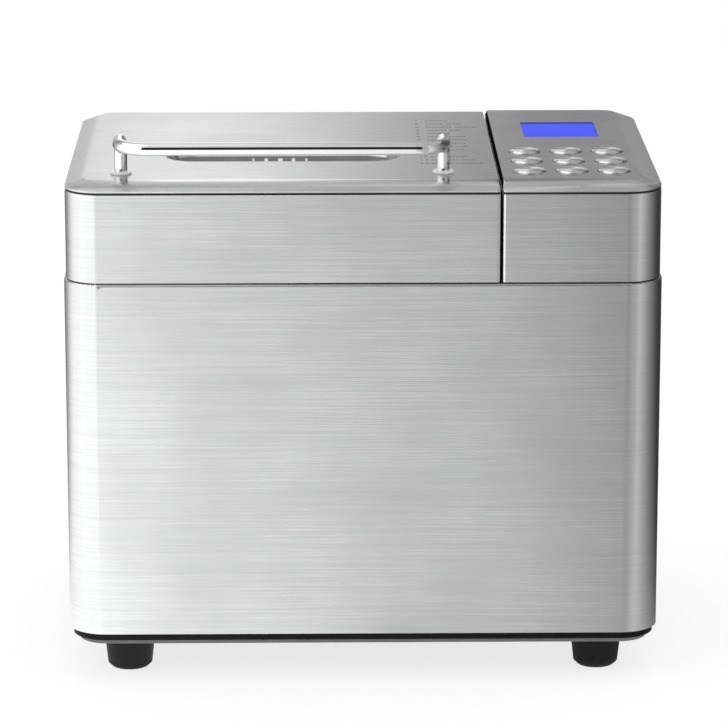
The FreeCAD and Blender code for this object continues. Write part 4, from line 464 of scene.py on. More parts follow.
def soften_crease(piece, line):
    """Cuts strips beside the front crease, in which the shading turns from the flat to the bevel."""
    edit(piece)
    for place in (line + CREASE, line - CREASE):
        bpy.ops.mesh.select_all(action="SELECT")
        bpy.ops.mesh.bisect(plane_co=(0, place, 0), plane_no=(0, 1, 0))
    object_mode()


def finish_copy(node, name, material, edge, crease=None):
    """A merged copy of a CAD node with round corners and broken sheet edges, which stands for that node."""
    piece = own_copy(frame["nodes"][node], name)
    piece.parent = None
    piece.matrix_world.identity()
    activate(piece)
    bpy.ops.mesh.customdata_custom_splitnormals_clear()
    edit(piece)
    bpy.ops.mesh.remove_doubles(threshold=WELD)
    bpy.ops.mesh.dissolve_limited(angle_limit=math.radians(0.3))
    object_mode()
    round_corners(piece)
    apply_modifier(piece, "BEVEL", width=edge, segments=2, limit_method="ANGLE", angle_limit=math.radians(35),
                   harden_normals=False, use_clamp_overlap=True)
    if crease is not None:
        soften_crease(piece, crease)
    activate(piece)
    bpy.ops.object.shade_smooth_by_angle(angle=math.radians(32))
    apply_modifier(piece, "WEIGHTED_NORMAL", mode="FACE_AREA", weight=60, keep_sharp=True)
    piece.material_slots[0].material = material
    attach(piece, BODY_OF[node])
    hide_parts(node)
    return piece


def bar(name, width, length, depth, place):
    """A flat printed bar with softened ends, modelled about its own centre and put in place."""
    softness = 0.35
    deselect()
    bpy.ops.mesh.primitive_plane_add(size=1, location=(0, 0, 0))
    piece = bpy.context.object
    piece.name = name
    piece.scale = (width, length, 1)
    apply_place(piece)
    edit(piece)
    bpy.ops.mesh.bevel(offset=min(width, length) * softness, segments=2, affect="VERTICES")
    bpy.ops.mesh.extrude_region_move(TRANSFORM_OT_translate={"value": (0, 0, depth)})
    bpy.ops.mesh.select_all(action="SELECT")
    bpy.ops.mesh.normals_make_consistent(inside=False)
    object_mode()
    return put(piece, place)


def strokes(name, width, height, depth, place, pitch):
    """A printed word as a row of small upright strokes, starting at its place."""
    stroke = pitch * STROKE_SHARE
    piece = bar(name, stroke, height, depth, (stroke / 2, 0, 0))
    apply_modifier(piece, "ARRAY", count=max(1, round(width / pitch)), use_relative_offset=False,
                   use_constant_offset=True, constant_offset_displace=(pitch, 0, 0))
    return put(piece, place)


def figure(text, height, depth, place):
    """A plain number as a thin mesh."""
    deselect()
    bpy.ops.object.text_add(location=(0, 0, 0))
    piece = bpy.context.object
    piece.data.body = text
    piece.data.size = height * FONT_PER_HEIGHT
    piece.data.extrude = depth / 2
    piece.data.resolution_u = 3
    bpy.ops.object.convert(target="MESH")
    piece = bpy.context.object
    edit(piece)
    bpy.ops.mesh.remove_doubles(threshold=WELD)
    bpy.ops.mesh.normals_make_consistent(inside=False)
    object_mode()
    return put(piece, place)


def join(pieces, name):
    deselect()
    for piece in pieces:
        piece.select_set(True)
    bpy.context.view_layer.objects.active = pieces[0]
    bpy.ops.object.join()
    pieces[0].name = name
    return pieces[0]


def print_on(piece, material, body):
    piece.data.materials.clear()
    piece.data.materials.append(material)
    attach(piece, body)


def settings_of(context):
    return context.scene.bread_machine


# Operators

class DressOperator:
    """What all operators share."""

    bl_options = {"REGISTER", "UNDO"}


class BREADMACHINE_OT_steel_panels(DressOperator, bpy.types.Operator):
    """Brushed steel shell, bands and caps with broken sheet edges"""

    bl_idname = "bread_machine.steel_panels"
    bl_label = "Steel panels"

    bevel = 12 * MM
    corner = 22.75 * MM

    def execute(self, context):
        steel = settings_of(context).steel
        sides = brushed_steel("Brushed steel sides", (12, 12, 1500), "Z", steel)
        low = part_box("lid_cap")[0]
        crease = low.y + self.bevel
        reach = -low.x - self.corner
        tops = brushed_steel("Brushed steel tops", (12, 1700, 300), "Y", steel, (crease, reach))
        finish_copy("outer_shell", "shell_panel", sides, steel.edge)
        finish_copy("lid_band", "lid_band_panel", sides, steel.edge)
        finish_copy("control_band", "control_band_panel", sides, steel.edge)
        lid = finish_copy("lid_cap", "lid_cap_panel", tops, steel.top_edge, crease)
        head = finish_copy("control_cap", "control_cap_panel", tops, steel.top_edge, crease)
        # Painted shade: a black finish for the walls of the caps' openings and of the gap between lid and
        # control head, in place of the shade that falls in those narrow gaps
        painted_shade = plain_finish("Painted shade black", (0.006, 0.006, 0.006), (0.012, 0.012, 0.012), (0.5, 0.6),
                           Specular_IOR_Level=0.1)
        paint_gap_shade(lid, painted_shade, "lid_cap", 1)
        paint_gap_shade(head, painted_shade, "control_cap", -1)
        return {"FINISHED"}


def paint_gap_shade(piece, material, node, side):
    """Paints shade in black on the walls of a cap's openings and on its wall at the gap between lid and
    control head, standing for the shade inside those narrow gaps.
    """
    low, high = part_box(node)
    gap, far = (high.x, low.x) if side > 0 else (low.x, high.x)
    margin = 20 * MM
    gap_margin = 5 * MM
    gap_wall = 1.5 * MM
    upright = 0.9
    level = 0.95
    piece.data.materials.append(material)
    for face in piece.data.polygons:
        place = face.center
        from_gap = abs(place.x - gap)
        inside = (from_gap > gap_margin and abs(place.x - far) > margin
                  and low.y + margin < place.y < high.y - margin)
        at_gap = from_gap < gap_wall and face.normal.x * side > upright
        if at_gap or (inside and abs(face.normal.z) < level):
            face.material_index = 1


class BREADMACHINE_OT_base(DressOperator, bpy.types.Operator):
    """Base tray, feet, bottom plate, deck and cord gland"""

    bl_idname = "bread_machine.base"
    bl_label = "Base"

    foot_edge = 1.1 * MM

    def execute(self, context):
        plastic = plain_finish("Black plastic", (0.005, 0.005, 0.0055), (0.010, 0.010, 0.011), (0.42, 0.55),
                               wear=0.25, worn=(0.03, 0.03, 0.032, 1), Specular_IOR_Level=0.1)
        rubber = plain_finish("Black rubber", (0.006, 0.006, 0.006), (0.016, 0.016, 0.0165), (0.55, 0.75),
                              patch=350.0, skin=1400.0, depth=0.5, Specular_IOR_Level=0.22)
        sheet = plain_finish("Coated sheet", (0.17, 0.17, 0.172), (0.21, 0.21, 0.212), (0.5, 0.65),
                             patch=90.0, skin=1200.0, depth=0.2, wear=0.4, worn=(0.30, 0.30, 0.30, 1),
                             Specular_IOR_Level=0.2)
        zinc = plain_finish("Zinc plate", (0.50, 0.50, 0.48), (0.66, 0.66, 0.66), (0.28, 0.42), metallic=1.0,
                            patch=220.0, wear=0.4, worn=(0.8, 0.8, 0.8, 1))
        dress(plastic, "base_tray", "top_deck", "cord_gland")
        for foot in FEET:
            finish_copy(foot, foot + "_pad", rubber, self.foot_edge)
        dress(sheet, "bottom_plate")
        dress(zinc, "foot_screws")
        return {"FINISHED"}


def galvanised(name):
    """Zinc flowers of different shades."""
    material, tree, shader = start_material(name, Metallic=1.0)
    vector = object_vector(tree)
    flowers = add(tree, "ShaderNodeTexVoronoi", {"Scale": 130.0})
    tree.links.new(vector, flowers.inputs["Vector"])
    shade = add(tree, "ShaderNodeRGBToBW")
    tree.links.new(flowers.outputs["Color"], shade.inputs["Color"])
    colour = mix_colour(tree, shade.outputs["Val"], (0.40, 0.41, 0.42, 1), (0.58, 0.59, 0.60, 1))
    feed(tree, shader, Base_Color=colour, Roughness=spread(tree, shade.outputs["Val"], 0.3, 0.5))
    bump(tree, shader, shade.outputs["Val"], strength=0.08)
    return material


class BREADMACHINE_OT_lid(DressOperator, bpy.types.Operator):
    """Lid liner, seal, reflector, window and hinges"""

    bl_idname = "bread_machine.lid"
    bl_label = "Lid"

    def execute(self, context):
        liner = plain_finish("Liner plastic", (0.009, 0.009, 0.0095), (0.018, 0.018, 0.019), (0.38, 0.5),
                             patch=45.0, skin=2200.0, wear=0.3, worn=(0.09, 0.09, 0.09, 1))
        silicone = plain_finish("Grey silicone", (0.16, 0.16, 0.165), (0.23, 0.23, 0.235), (0.5, 0.68),
                                patch=120.0, skin=1800.0, depth=0.2)
        polished = plain_finish("Polished frame", (0.62, 0.62, 0.63), (0.74, 0.74, 0.75), (0.1, 0.2),
                                metallic=1.0, patch=90.0, depth=0.02, wear=0.5, worn=(0.9, 0.9, 0.9, 1))
        pins = ground_steel("Hinge pin steel")
        dress(liner, "lid_liner", "hinge_brackets")
        dress(silicone, "lid_gasket")
        dress(aluminised("Reflector sheet"), "lid_reflector")
        dress(polished, "window_frame")
        dress(pane("Smoked glass", (0.05, 0.05, 0.053, 1), 0.5), "window_glass")
        dress(pane("Clear glass", (0.9, 0.93, 0.92, 1), 0.9), "inner_window")
        dress(pins, "hinge_pins")
        return {"FINISHED"}


def aluminised(name):
    """Aluminised sheet, clouded by heat."""
    material, tree, shader = start_material(name, Metallic=1.0)
    vector = object_vector(tree)
    clouds = use_group(tree, MOTTLE, vector, scale=26.0)
    spots = use_group(tree, MOTTLE, vector, scale=420.0, low=0.0, high=0.35)
    sheet = mix_colour(tree, clouds.outputs["Value"], (0.50, 0.49, 0.47, 1), (0.66, 0.66, 0.65, 1))
    colour = mix_colour(tree, spots.outputs["Value"], sheet, (0.44, 0.42, 0.39, 1))
    feed(tree, shader, Base_Color=colour, Roughness=spread(tree, clouds.outputs["Value"], 0.30, 0.44))
    bump(tree, shader, spots.outputs["Value"], strength=0.1)
    return material


def ground_steel(name):
    """Ground bar with fine level lines."""
    material, tree, shader = start_material(name, Metallic=1.0)
    lines = use_group(tree, BRUSH_LINES, object_vector(tree, (160, 160, 900)), fine=2.2)
    colour = mix_colour(tree, lines.outputs["Streak"], (0.52, 0.52, 0.53, 1), (0.70, 0.70, 0.71, 1))
    feed(tree, shader, Base_Color=colour, Roughness=spread(tree, lines.outputs["Streak"], 0.34, 0.20))
    bump(tree, shader, lines.outputs["Height"], strength=0.08)
    return material


def pane(name, colour, clear):
    """Toughened glass with a few faint smears."""
    material, tree, shader = start_material(name, Base_Color=colour, Transmission_Weight=clear, IOR=1.5)
    smears = use_group(tree, MOTTLE, object_vector(tree, (1, 2.5, 1)), scale=30.0, low=0.02, high=0.10)
    feed(tree, shader, Roughness=smears.outputs["Value"])
    return material


class BREADMACHINE_OT_handle(DressOperator, bpy.types.Operator):
    """Chrome tube handle with its collars and screws"""

    bl_idname = "bread_machine.handle"
    bl_label = "Handle"

    def execute(self, context):
        chrome = plain_finish("Polished chrome", (0.84, 0.84, 0.85), (0.90, 0.90, 0.90), (0.03, 0.07),
                              metallic=1.0, patch=40.0, skin=900.0, depth=0.004)
        nylon = plain_finish("Milky nylon", (0.60, 0.60, 0.595), (0.74, 0.74, 0.735), (0.25, 0.4),
                             patch=200.0, depth=0.05)
        screws = plain_finish("Screw steel", (0.50, 0.50, 0.50), (0.66, 0.66, 0.66), (0.25, 0.4),
                              metallic=1.0, patch=220.0)
        dress(chrome, "lid_handle")
        dress(nylon, "handle_collars")
        dress(screws, "handle_screws")
        return {"FINISHED"}


class BREADMACHINE_OT_controls(DressOperator, bpy.types.Operator):
    """Display window, nine spun buttons, inner frame and control board"""

    bl_idname = "bread_machine.controls"
    bl_label = "Controls"

    def execute(self, context):
        inner = plain_finish("Frame plastic", (0.014, 0.014, 0.015), (0.022, 0.022, 0.024), (0.45, 0.6))
        dress(inner, "control_frame")
        dress(circuit_board("Control board", "control_board", (0.012, 0.09, 0.035), (0.02, 0.16, 0.06)),
              "control_board")
        dress(display("Blue display"), "lcd_lens")
        for button in BUTTONS:
            low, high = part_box(button)
            dress(spun_cap("Spun cap " + button.removeprefix("button_"), (low + high) / 2), button)
        return {"FINISHED"}


def circuit_board(name, node, dark, light):
    """Lacquered board with darker blocks standing on it."""
    material, tree, shader = start_material(name, Specular_IOR_Level=0.5)
    vector = object_vector(tree)
    tracks = add(tree, "ShaderNodeTexVoronoi", {"Scale": 240.0}, distance="MANHATTAN")
    tree.links.new(vector, tracks.inputs["Vector"])
    gaps = spread(tree, tracks.outputs["Distance"], 0.0, 1.0, 0.2, 0.5)
    lacquer = mix_colour(tree, gaps, (*light, 1), (*dark, 1))
    blocks = use_group(tree, MOTTLE, vector, scale=90.0)
    block = mix_colour(tree, blocks.outputs["Value"], (0.015, 0.015, 0.016, 1), (0.05, 0.05, 0.052, 1))
    height = add(tree, "ShaderNodeSeparateXYZ")
    tree.links.new(vector, height.inputs[0])
    sheet_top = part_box(node)[0].z + BOARD_TOP
    above = spread(tree, height.outputs["Z"], 0.0, 1.0, sheet_top, sheet_top + BOARD_FADE)
    colour = mix_colour(tree, above, lacquer, block)
    feed(tree, shader, Base_Color=colour, Roughness=spread(tree, blocks.outputs["Value"], 0.28, 0.45))
    bump(tree, shader, tracks.outputs["Distance"], strength=0.1, distance=0.2 * MM)
    return material


def display(name):
    """Blue backlight behind a fine grid of cells."""
    material, tree, shader = start_material(name, Base_Color=(0.004, 0.006, 0.05, 1), Roughness=0.2,
                                            Emission_Strength=1.0, Specular_IOR_Level=0.04)
    vector = object_vector(tree)
    glow = use_group(tree, MOTTLE, vector, scale=18.0)
    backlight = mix_colour(tree, glow.outputs["Value"], (0.045, 0.085, 0.95, 1), (0.075, 0.125, 1.0, 1))
    cells = add(tree, "ShaderNodeTexBrick", {"Scale": 900.0, "Mortar Size": 0.05}, offset=0.0)
    tree.links.new(vector, cells.inputs["Vector"])
    blue = mix_colour(tree, cells.outputs["Fac"], backlight, (0.03, 0.055, 0.78, 1))
    feed(tree, shader, Emission_Color=blue)
    return material


def spun_cap(name, centre):
    """Metal cap turned on a lathe, with rings about its own centre."""
    material, tree, shader = start_material(name, Metallic=1.0, Anisotropic=0.95, Anisotropic_Rotation=0.25)
    vector = object_vector(tree, location=(-centre.x, -centre.y, 0))
    flat = add(tree, "ShaderNodeVectorMath", {1: (1, 1, 0)}, operation="MULTIPLY")
    tree.links.new(vector, flat.inputs[0])
    radius = add(tree, "ShaderNodeVectorMath", operation="LENGTH")
    tree.links.new(flat.outputs["Vector"], radius.inputs[0])
    outward = add(tree, "ShaderNodeCombineXYZ")
    tree.links.new(math_node(tree, "MULTIPLY", radius.outputs["Value"], RING_SCALE), outward.inputs["X"])
    rings = noise(tree, outward.outputs["Vector"], scale=1.0, detail=3.0, roughness=0.6)
    bands = spread(tree, rings, 0.0, 1.0, 0.3, 0.7)
    colour = mix_colour(tree, bands, (0.84, 0.84, 0.85, 1), (0.97, 0.97, 0.97, 1))
    tangent = add(tree, "ShaderNodeTangent", direction_type="RADIAL", axis="Z")
    feed(tree, shader, Base_Color=colour, Roughness=spread(tree, rings, 0.40, 0.29),
         Tangent=tangent.outputs["Tangent"])
    bump(tree, shader, rings, strength=0.05)
    return material


class BREADMACHINE_OT_chamber(DressOperator, bpy.types.Operator):
    """Baking chamber, heating element, hooks, probe and pan clips"""

    bl_idname = "bread_machine.chamber"
    bl_label = "Baking chamber"

    def execute(self, context):
        spring = plain_finish("Spring steel", (0.40, 0.39, 0.38), (0.56, 0.55, 0.54), (0.28, 0.42),
                              metallic=1.0, patch=160.0)
        dress(aluminised("Chamber sheet"), "chamber_liner")
        dress(heated_tube("Heated tube"), "heating_element")
        dress(spring, "heater_brackets", "pan_clips")
        dress(ground_steel("Probe steel"), "temperature_sensor")
        return {"FINISHED"}


def heated_tube(name):
    """Steel tube browned and blued by heat."""
    material, tree, shader = start_material(name, Metallic=0.9)
    vector = object_vector(tree)
    bands = use_group(tree, MOTTLE, vector, scale=40.0)
    scale_spots = use_group(tree, MOTTLE, vector, scale=700.0, low=0.0, high=0.6)
    tint = mix_colour(tree, bands.outputs["Value"], (0.10, 0.085, 0.075, 1), (0.17, 0.16, 0.17, 1))
    colour = mix_colour(tree, scale_spots.outputs["Value"], tint, (0.06, 0.055, 0.055, 1))
    feed(tree, shader, Base_Color=colour, Roughness=spread(tree, bands.outputs["Value"], 0.42, 0.6))
    bump(tree, shader, scale_spots.outputs["Value"], strength=0.2)
    return material


class BREADMACHINE_OT_pan(DressOperator, bpy.types.Operator):
    """Bread pan with its base, bearing, wire handle, shaft, coupler and paddle"""

    bl_idname = "bread_machine.pan"
    bl_label = "Bread pan"

    def execute(self, context):
        coat = non_stick("Non-stick coat")
        cast = plain_finish("Cast aluminium", (0.46, 0.46, 0.465), (0.60, 0.60, 0.605), (0.38, 0.55),
                            metallic=1.0, patch=170.0, skin=1500.0, depth=0.25, wear=0.5,
                            worn=(0.75, 0.75, 0.75, 1))
        dress(coat, "bread_pan", "kneading_paddle")
        dress(cast, "pan_base", "pan_coupler")
        dress(ground_steel("Pan steel"), "pan_bearing", "pan_bail", "pan_shaft")
        return {"FINISHED"}


def non_stick(name):
    """Dark coat with pale specks and edges rubbed to the metal."""
    material, tree, shader = start_material(name, Metallic=0.35, Specular_IOR_Level=0.45)
    vector = object_vector(tree)
    specks = use_group(tree, MOULDED_SKIN, vector, scale=900.0)
    fleck = spread(tree, specks.outputs["Height"], 1.0, 0.0, 0.10, 0.16)
    coat = mix_colour(tree, fleck, (0.035, 0.035, 0.037, 1), (0.12, 0.12, 0.125, 1))
    edges = use_group(tree, EDGE_WEAR, vector, radius=0.8 * MM, amount=0.6)
    colour = mix_colour(tree, edges.outputs["Mask"], coat, (0.35, 0.35, 0.35, 1))
    rubs = use_group(tree, MOTTLE, vector, scale=35.0, low=0.34, high=0.48)
    feed(tree, shader, Base_Color=colour, Roughness=rubs.outputs["Value"])
    bump(tree, shader, specks.outputs["Height"], strength=0.12)
    return material


class BREADMACHINE_OT_drive(DressOperator, bpy.types.Operator):
    """Bearing, bushes, shafts, pulleys, dog and belt"""

    bl_idname = "bread_machine.drive"
    bl_label = "Drive"

    def execute(self, context):
        cast = plain_finish("Cast metal", (0.44, 0.44, 0.445), (0.58, 0.58, 0.585), (0.40, 0.58),
                            metallic=1.0, patch=150.0, skin=1300.0, depth=0.3, wear=0.5,
                            worn=(0.74, 0.74, 0.74, 1))
        bronze = plain_finish("Sintered bronze", (0.36, 0.21, 0.07), (0.52, 0.33, 0.13), (0.4, 0.58),
                              metallic=1.0, patch=900.0, skin=3800.0, depth=0.2)
        belt = plain_finish("Belt rubber", (0.010, 0.010, 0.010), (0.024, 0.024, 0.024), (0.6, 0.78),
                            patch=260.0, skin=1700.0, depth=0.4)
        moulded = plain_finish("Pulley plastic", (0.016, 0.016, 0.017), (0.028, 0.028, 0.03), (0.4, 0.55))
        dress(cast, "bearing_housing", "drive_pulley", "drive_dog")
        dress(bronze, "bearing_bushes")
        dress(ground_steel("Shaft steel"), "drive_shaft", "motor_shaft")
        dress(belt, "drive_belt")
        dress(moulded, "motor_pulley")
        return {"FINISHED"}


class BREADMACHINE_OT_electrics(DressOperator, bpy.types.Operator):
    """Motor, its bracket and the power board"""

    bl_idname = "bread_machine.electrics"
    bl_label = "Electrics"

    def execute(self, context):
        case = plain_finish("Motor paint", (0.13, 0.13, 0.135), (0.19, 0.19, 0.195), (0.32, 0.46),
                            patch=110.0, wear=0.6, worn=(0.45, 0.45, 0.45, 1))
        dress(case, "motor_housing")
        dress(galvanised("Bracket sheet"), "motor_bracket")
        dress(circuit_board("Power board", "power_board", (0.16, 0.09, 0.03), (0.26, 0.16, 0.06)),
              "power_board")
        return {"FINISHED"}


class BREADMACHINE_OT_program_list(DressOperator, bpy.types.Operator):
    """Printed list on the lid: plain numbers, with rows of strokes for words"""

    bl_idname = "bread_machine.program_list"
    bl_label = "Program list"

    word_bars = ((15,), (12, 9), (17, 16), (13, 8), (16,), (10, 14), (12, 12), (9, 13), (15, 7), (11, 10),
                 (14,), (10, 12), (17, 9), (13, 18))
    left = 36 * MM
    back = 78 * MM
    number_width = 7.5 * MM
    word_gap = 2 * MM
    word_rise = 0.42
    word_height = 0.62

    def execute(self, context):
        settings = settings_of(context).print
        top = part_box("lid_cap")[1].z
        height = settings.letter * self.word_height
        pieces = []
        for row in range(settings.rows):
            y = self.back - row * settings.row_pitch
            pieces.append(figure(str(row + 1), settings.letter, settings.depth, (self.left, y, top)))
            x = self.left + self.number_width
            for word in self.word_bars[row % len(self.word_bars)]:
                width = word * MM
                place = (x, y + settings.letter * self.word_rise, top)
                pieces.append(strokes("word", width, height, settings.depth / 2, place,
                                      settings.stroke_pitch))
                x += width + self.word_gap
        print_on(join(pieces, "program_list"), ink(settings.ink), "lid")
        return {"FINISHED"}


def ink(colour):
    """Screen print, a little uneven."""
    material, tree, shader = start_material("Screen print", Specular_IOR_Level=0.3)
    cover = use_group(tree, MOTTLE, object_vector(tree), scale=900.0, low=0.0, high=0.5)
    mixed = mix_colour(tree, cover.outputs["Value"], colour, (0.16, 0.16, 0.165, 1))
    feed(tree, shader, Base_Color=mixed, Roughness=spread(tree, cover.outputs["Value"], 0.5, 0.7))
    return material


class BREADMACHINE_OT_button_marks(DressOperator, bpy.types.Operator):
    """A small printed mark in front of each button"""

    bl_idname = "bread_machine.button_marks"
    bl_label = "Button marks"

    widths = (7, 9, 6, 8, 10, 7, 9, 6, 8)
    forward = 13.2 * MM
    height = 1.5 * MM
    pitch_share = 0.7

    def execute(self, context):
        settings = settings_of(context).print
        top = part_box("control_cap")[1].z
        pitch = settings.stroke_pitch * self.pitch_share
        pieces = []
        for button, width in zip(BUTTONS, self.widths):
            low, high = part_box(button)
            middle = (low + high) / 2
            place = (middle.x - width * MM / 2, middle.y - self.forward, top)
            pieces.append(strokes("mark", width * MM, self.height, settings.depth, place, pitch))
        print_on(join(pieces, "button_marks"), ink(settings.ink), "base")
        return {"FINISHED"}


class BREADMACHINE_OT_window_marks(DressOperator, bpy.types.Operator):
    """Five pale marks on the lid window"""

    bl_idname = "bread_machine.window_marks"
    bl_label = "Window marks"

    places = ((-68.6, 1.2), (-60.4, 2.2), (-51.5, 3.0), (-43.2, 2.2), (-35.0, 1.2))
    length = 23 * MM

    def execute(self, context):
        low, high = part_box("window_glass")
        y = (low.y + high.y) / 2
        depth = settings_of(context).print.depth
        pieces = [bar("mark", width * MM, self.length, depth, (x * MM, y, high.z))
                  for x, width in self.places]
        pale = plain_finish("Pale enamel", (0.50, 0.50, 0.50), (0.62, 0.62, 0.62), (0.3, 0.45), patch=300.0)
        print_on(join(pieces, "window_marks"), pale, "lid")
        return {"FINISHED"}


# Stage

# Radius and height of the room that the cards make
ROOM = 3.2
ROOM_HEIGHT = 2.9

# Front face of the machine, and the point behind it from which the front card fans out
FRONT_Y = -0.132
FAN_POINT = 2.29

# Each card's stops of place and grey: degrees round the room for three, metres across for the others
WALL_LIGHT = ((-180, 0.72), (-179, 0.92), (-177.8, 1.1), (-176.4, 1.22), (-175, 1.22), (-173.5, 1.1),
              (-171, 0.85), (-168.5, 0.55), (-140, 0.28), (-122, 0.50), (-97, 1.2), (-64, 1.4), (-50, 1.34),
              (-20, 1.2), (-6, 1.1), (0, 0.8), (7, 0.45), (41, 0.43), (46, 0.68), (57, 0.58), (72, 0.38),
              (90, 0.24), (105, 0.12), (120, 0.07), (145, 0.12), (168, 0.36), (172.6, 0.25), (173.6, 0.18),
              (175.5, 0.24), (178.3, 0.45), (180, 0.72))
FLOOR_LIGHT = ((-180, 0.18), (-150, 0.12), (-125, 0.48), (-97, 1.25), (-64, 1.40), (-50, 1.36), (-20, 1.46),
               (0, 0.95), (8, 0.52), (41, 0.48), (45, 0.70), (50, 0.70), (57, 0.58), (72, 0.36), (87, 0.20),
               (105, 0.085), (116, 0.05), (128, 0.04), (150, 0.05), (165, 0.10), (180, 0.18))
CEILING_LIGHT = ((-180, 0.58), (-150, 0.65), (-120, 1.3), (-60, 1.4), (-20, 0.9), (10, 0.55), (60, 0.45),
                 (120, 0.45), (180, 0.58))
FRONT_LIGHT = ((-0.200, 1.62), (-0.160, 1.60), (-0.141, 1.42), (-0.096, 1.24), (-0.033, 1.07), (0.008, 0.985),
               (0.063, 0.89), (0.098, 0.85), (0.133, 0.72), (0.168, 0.545), (0.200, 0.50))
REAR_LIGHT = ((-0.90, 0.6), (-0.42, 0.75), (-0.29, 1.30), (-0.18, 1.50), (-0.11, 1.45), (-0.05, 1.25),
              (0.03, 0.92), (0.08, 0.66), (0.17, 0.40), (0.21, 0.31), (0.31, 0.25), (0.36, 0.26),
              (0.50, 0.40), (0.90, 0.45))
LENS_LIGHT = ((-2.5, 0.02), (2.5, 0.02))


def aim(thing, target):
    thing.rotation_euler = (Vector(target) - Vector(thing.location)).to_track_quat("-Z", "Y").to_euler()


def lamp(name, place, target, width, height, power):
    data = bpy.data.lights.new(name, "AREA")
    data.shape = "RECTANGLE"
    data.size = width
    data.size_y = height
    data.energy = power
    made = bpy.data.objects.new(name, data)
    bpy.context.collection.objects.link(made)
    made.location = place
    made.visible_glossy = False
    aim(made, target)


def reflect_only(piece, name, stops, reading):
    """Makes a stage piece that only reflections see, lit in greys along an angle, a fan or a plain width."""
    material, tree, output = empty_material(name)
    glow = add(tree, "ShaderNodeEmission")
    split = add(tree, "ShaderNodeSeparateXYZ")
    tree.links.new(object_vector(tree), split.inputs[0])
    x = split.outputs["X"]
    y = split.outputs["Y"]
    if reading == "angle":
        turn = math_node(tree, "ARCTAN2", x, math_node(tree, "MULTIPLY", y, -1.0))
        along = math_node(tree, "MULTIPLY", turn, 180.0 / math.pi)
    elif reading == "fan":
        reach = math_node(tree, "SUBTRACT", FAN_POINT, y)
        along = math_node(tree, "DIVIDE", math_node(tree, "MULTIPLY", x, FAN_POINT - FRONT_Y), reach)
    else:
        along = x
    first = stops[0][0]
    last = stops[-1][0]
    ramp = add(tree, "ShaderNodeValToRGB")
    elements = ramp.color_ramp.elements
    elements.remove(elements[1])
    for index, (place, grey) in enumerate(stops):
        position = (place - first) / (last - first)
        element = elements[0] if index == 0 else elements.new(position)
        element.position = position
        element.color = (grey, grey, grey, 1)
    tree.links.new(spread(tree, along, 0.0, 1.0, first, last), ramp.inputs["Fac"])
    tree.links.new(ramp.outputs["Color"], glow.inputs["Color"])
    tree.links.new(glow.outputs["Emission"], output.inputs["Surface"])
    piece.name = name
    piece.data.materials.clear()
    piece.data.materials.append(material)
    piece.visible_camera = False
    piece.visible_diffuse = False
    piece.visible_shadow = False
    piece.visible_transmission = False


def flat_card(low, high, far_width=None):
    """A level card, whose far edge may be wider than its near edge."""
    deselect()
    middle = (Vector(low) + Vector(high)) / 2
    bpy.ops.mesh.primitive_plane_add(size=1, location=middle)
    piece = bpy.context.object
    piece.scale = (high[0] - low[0], high[1] - low[1], 1)
    apply_place(piece)
    if far_width:
        for vertex in piece.data.vertices:
            if vertex.co.y < middle.y:
                vertex.co.x = math.copysign(far_width / 2, vertex.co.x)
    return piece


def upright_card(y, half_width, low, high):
    """An upright card across the room."""
    deselect()
    bpy.ops.mesh.primitive_plane_add(size=1, location=(0, y, (low + high) / 2), rotation=(math.pi / 2, 0, 0))
    piece = bpy.context.object
    piece.scale = (2 * half_width, high - low, 1)
    apply_place(piece)
    return piece


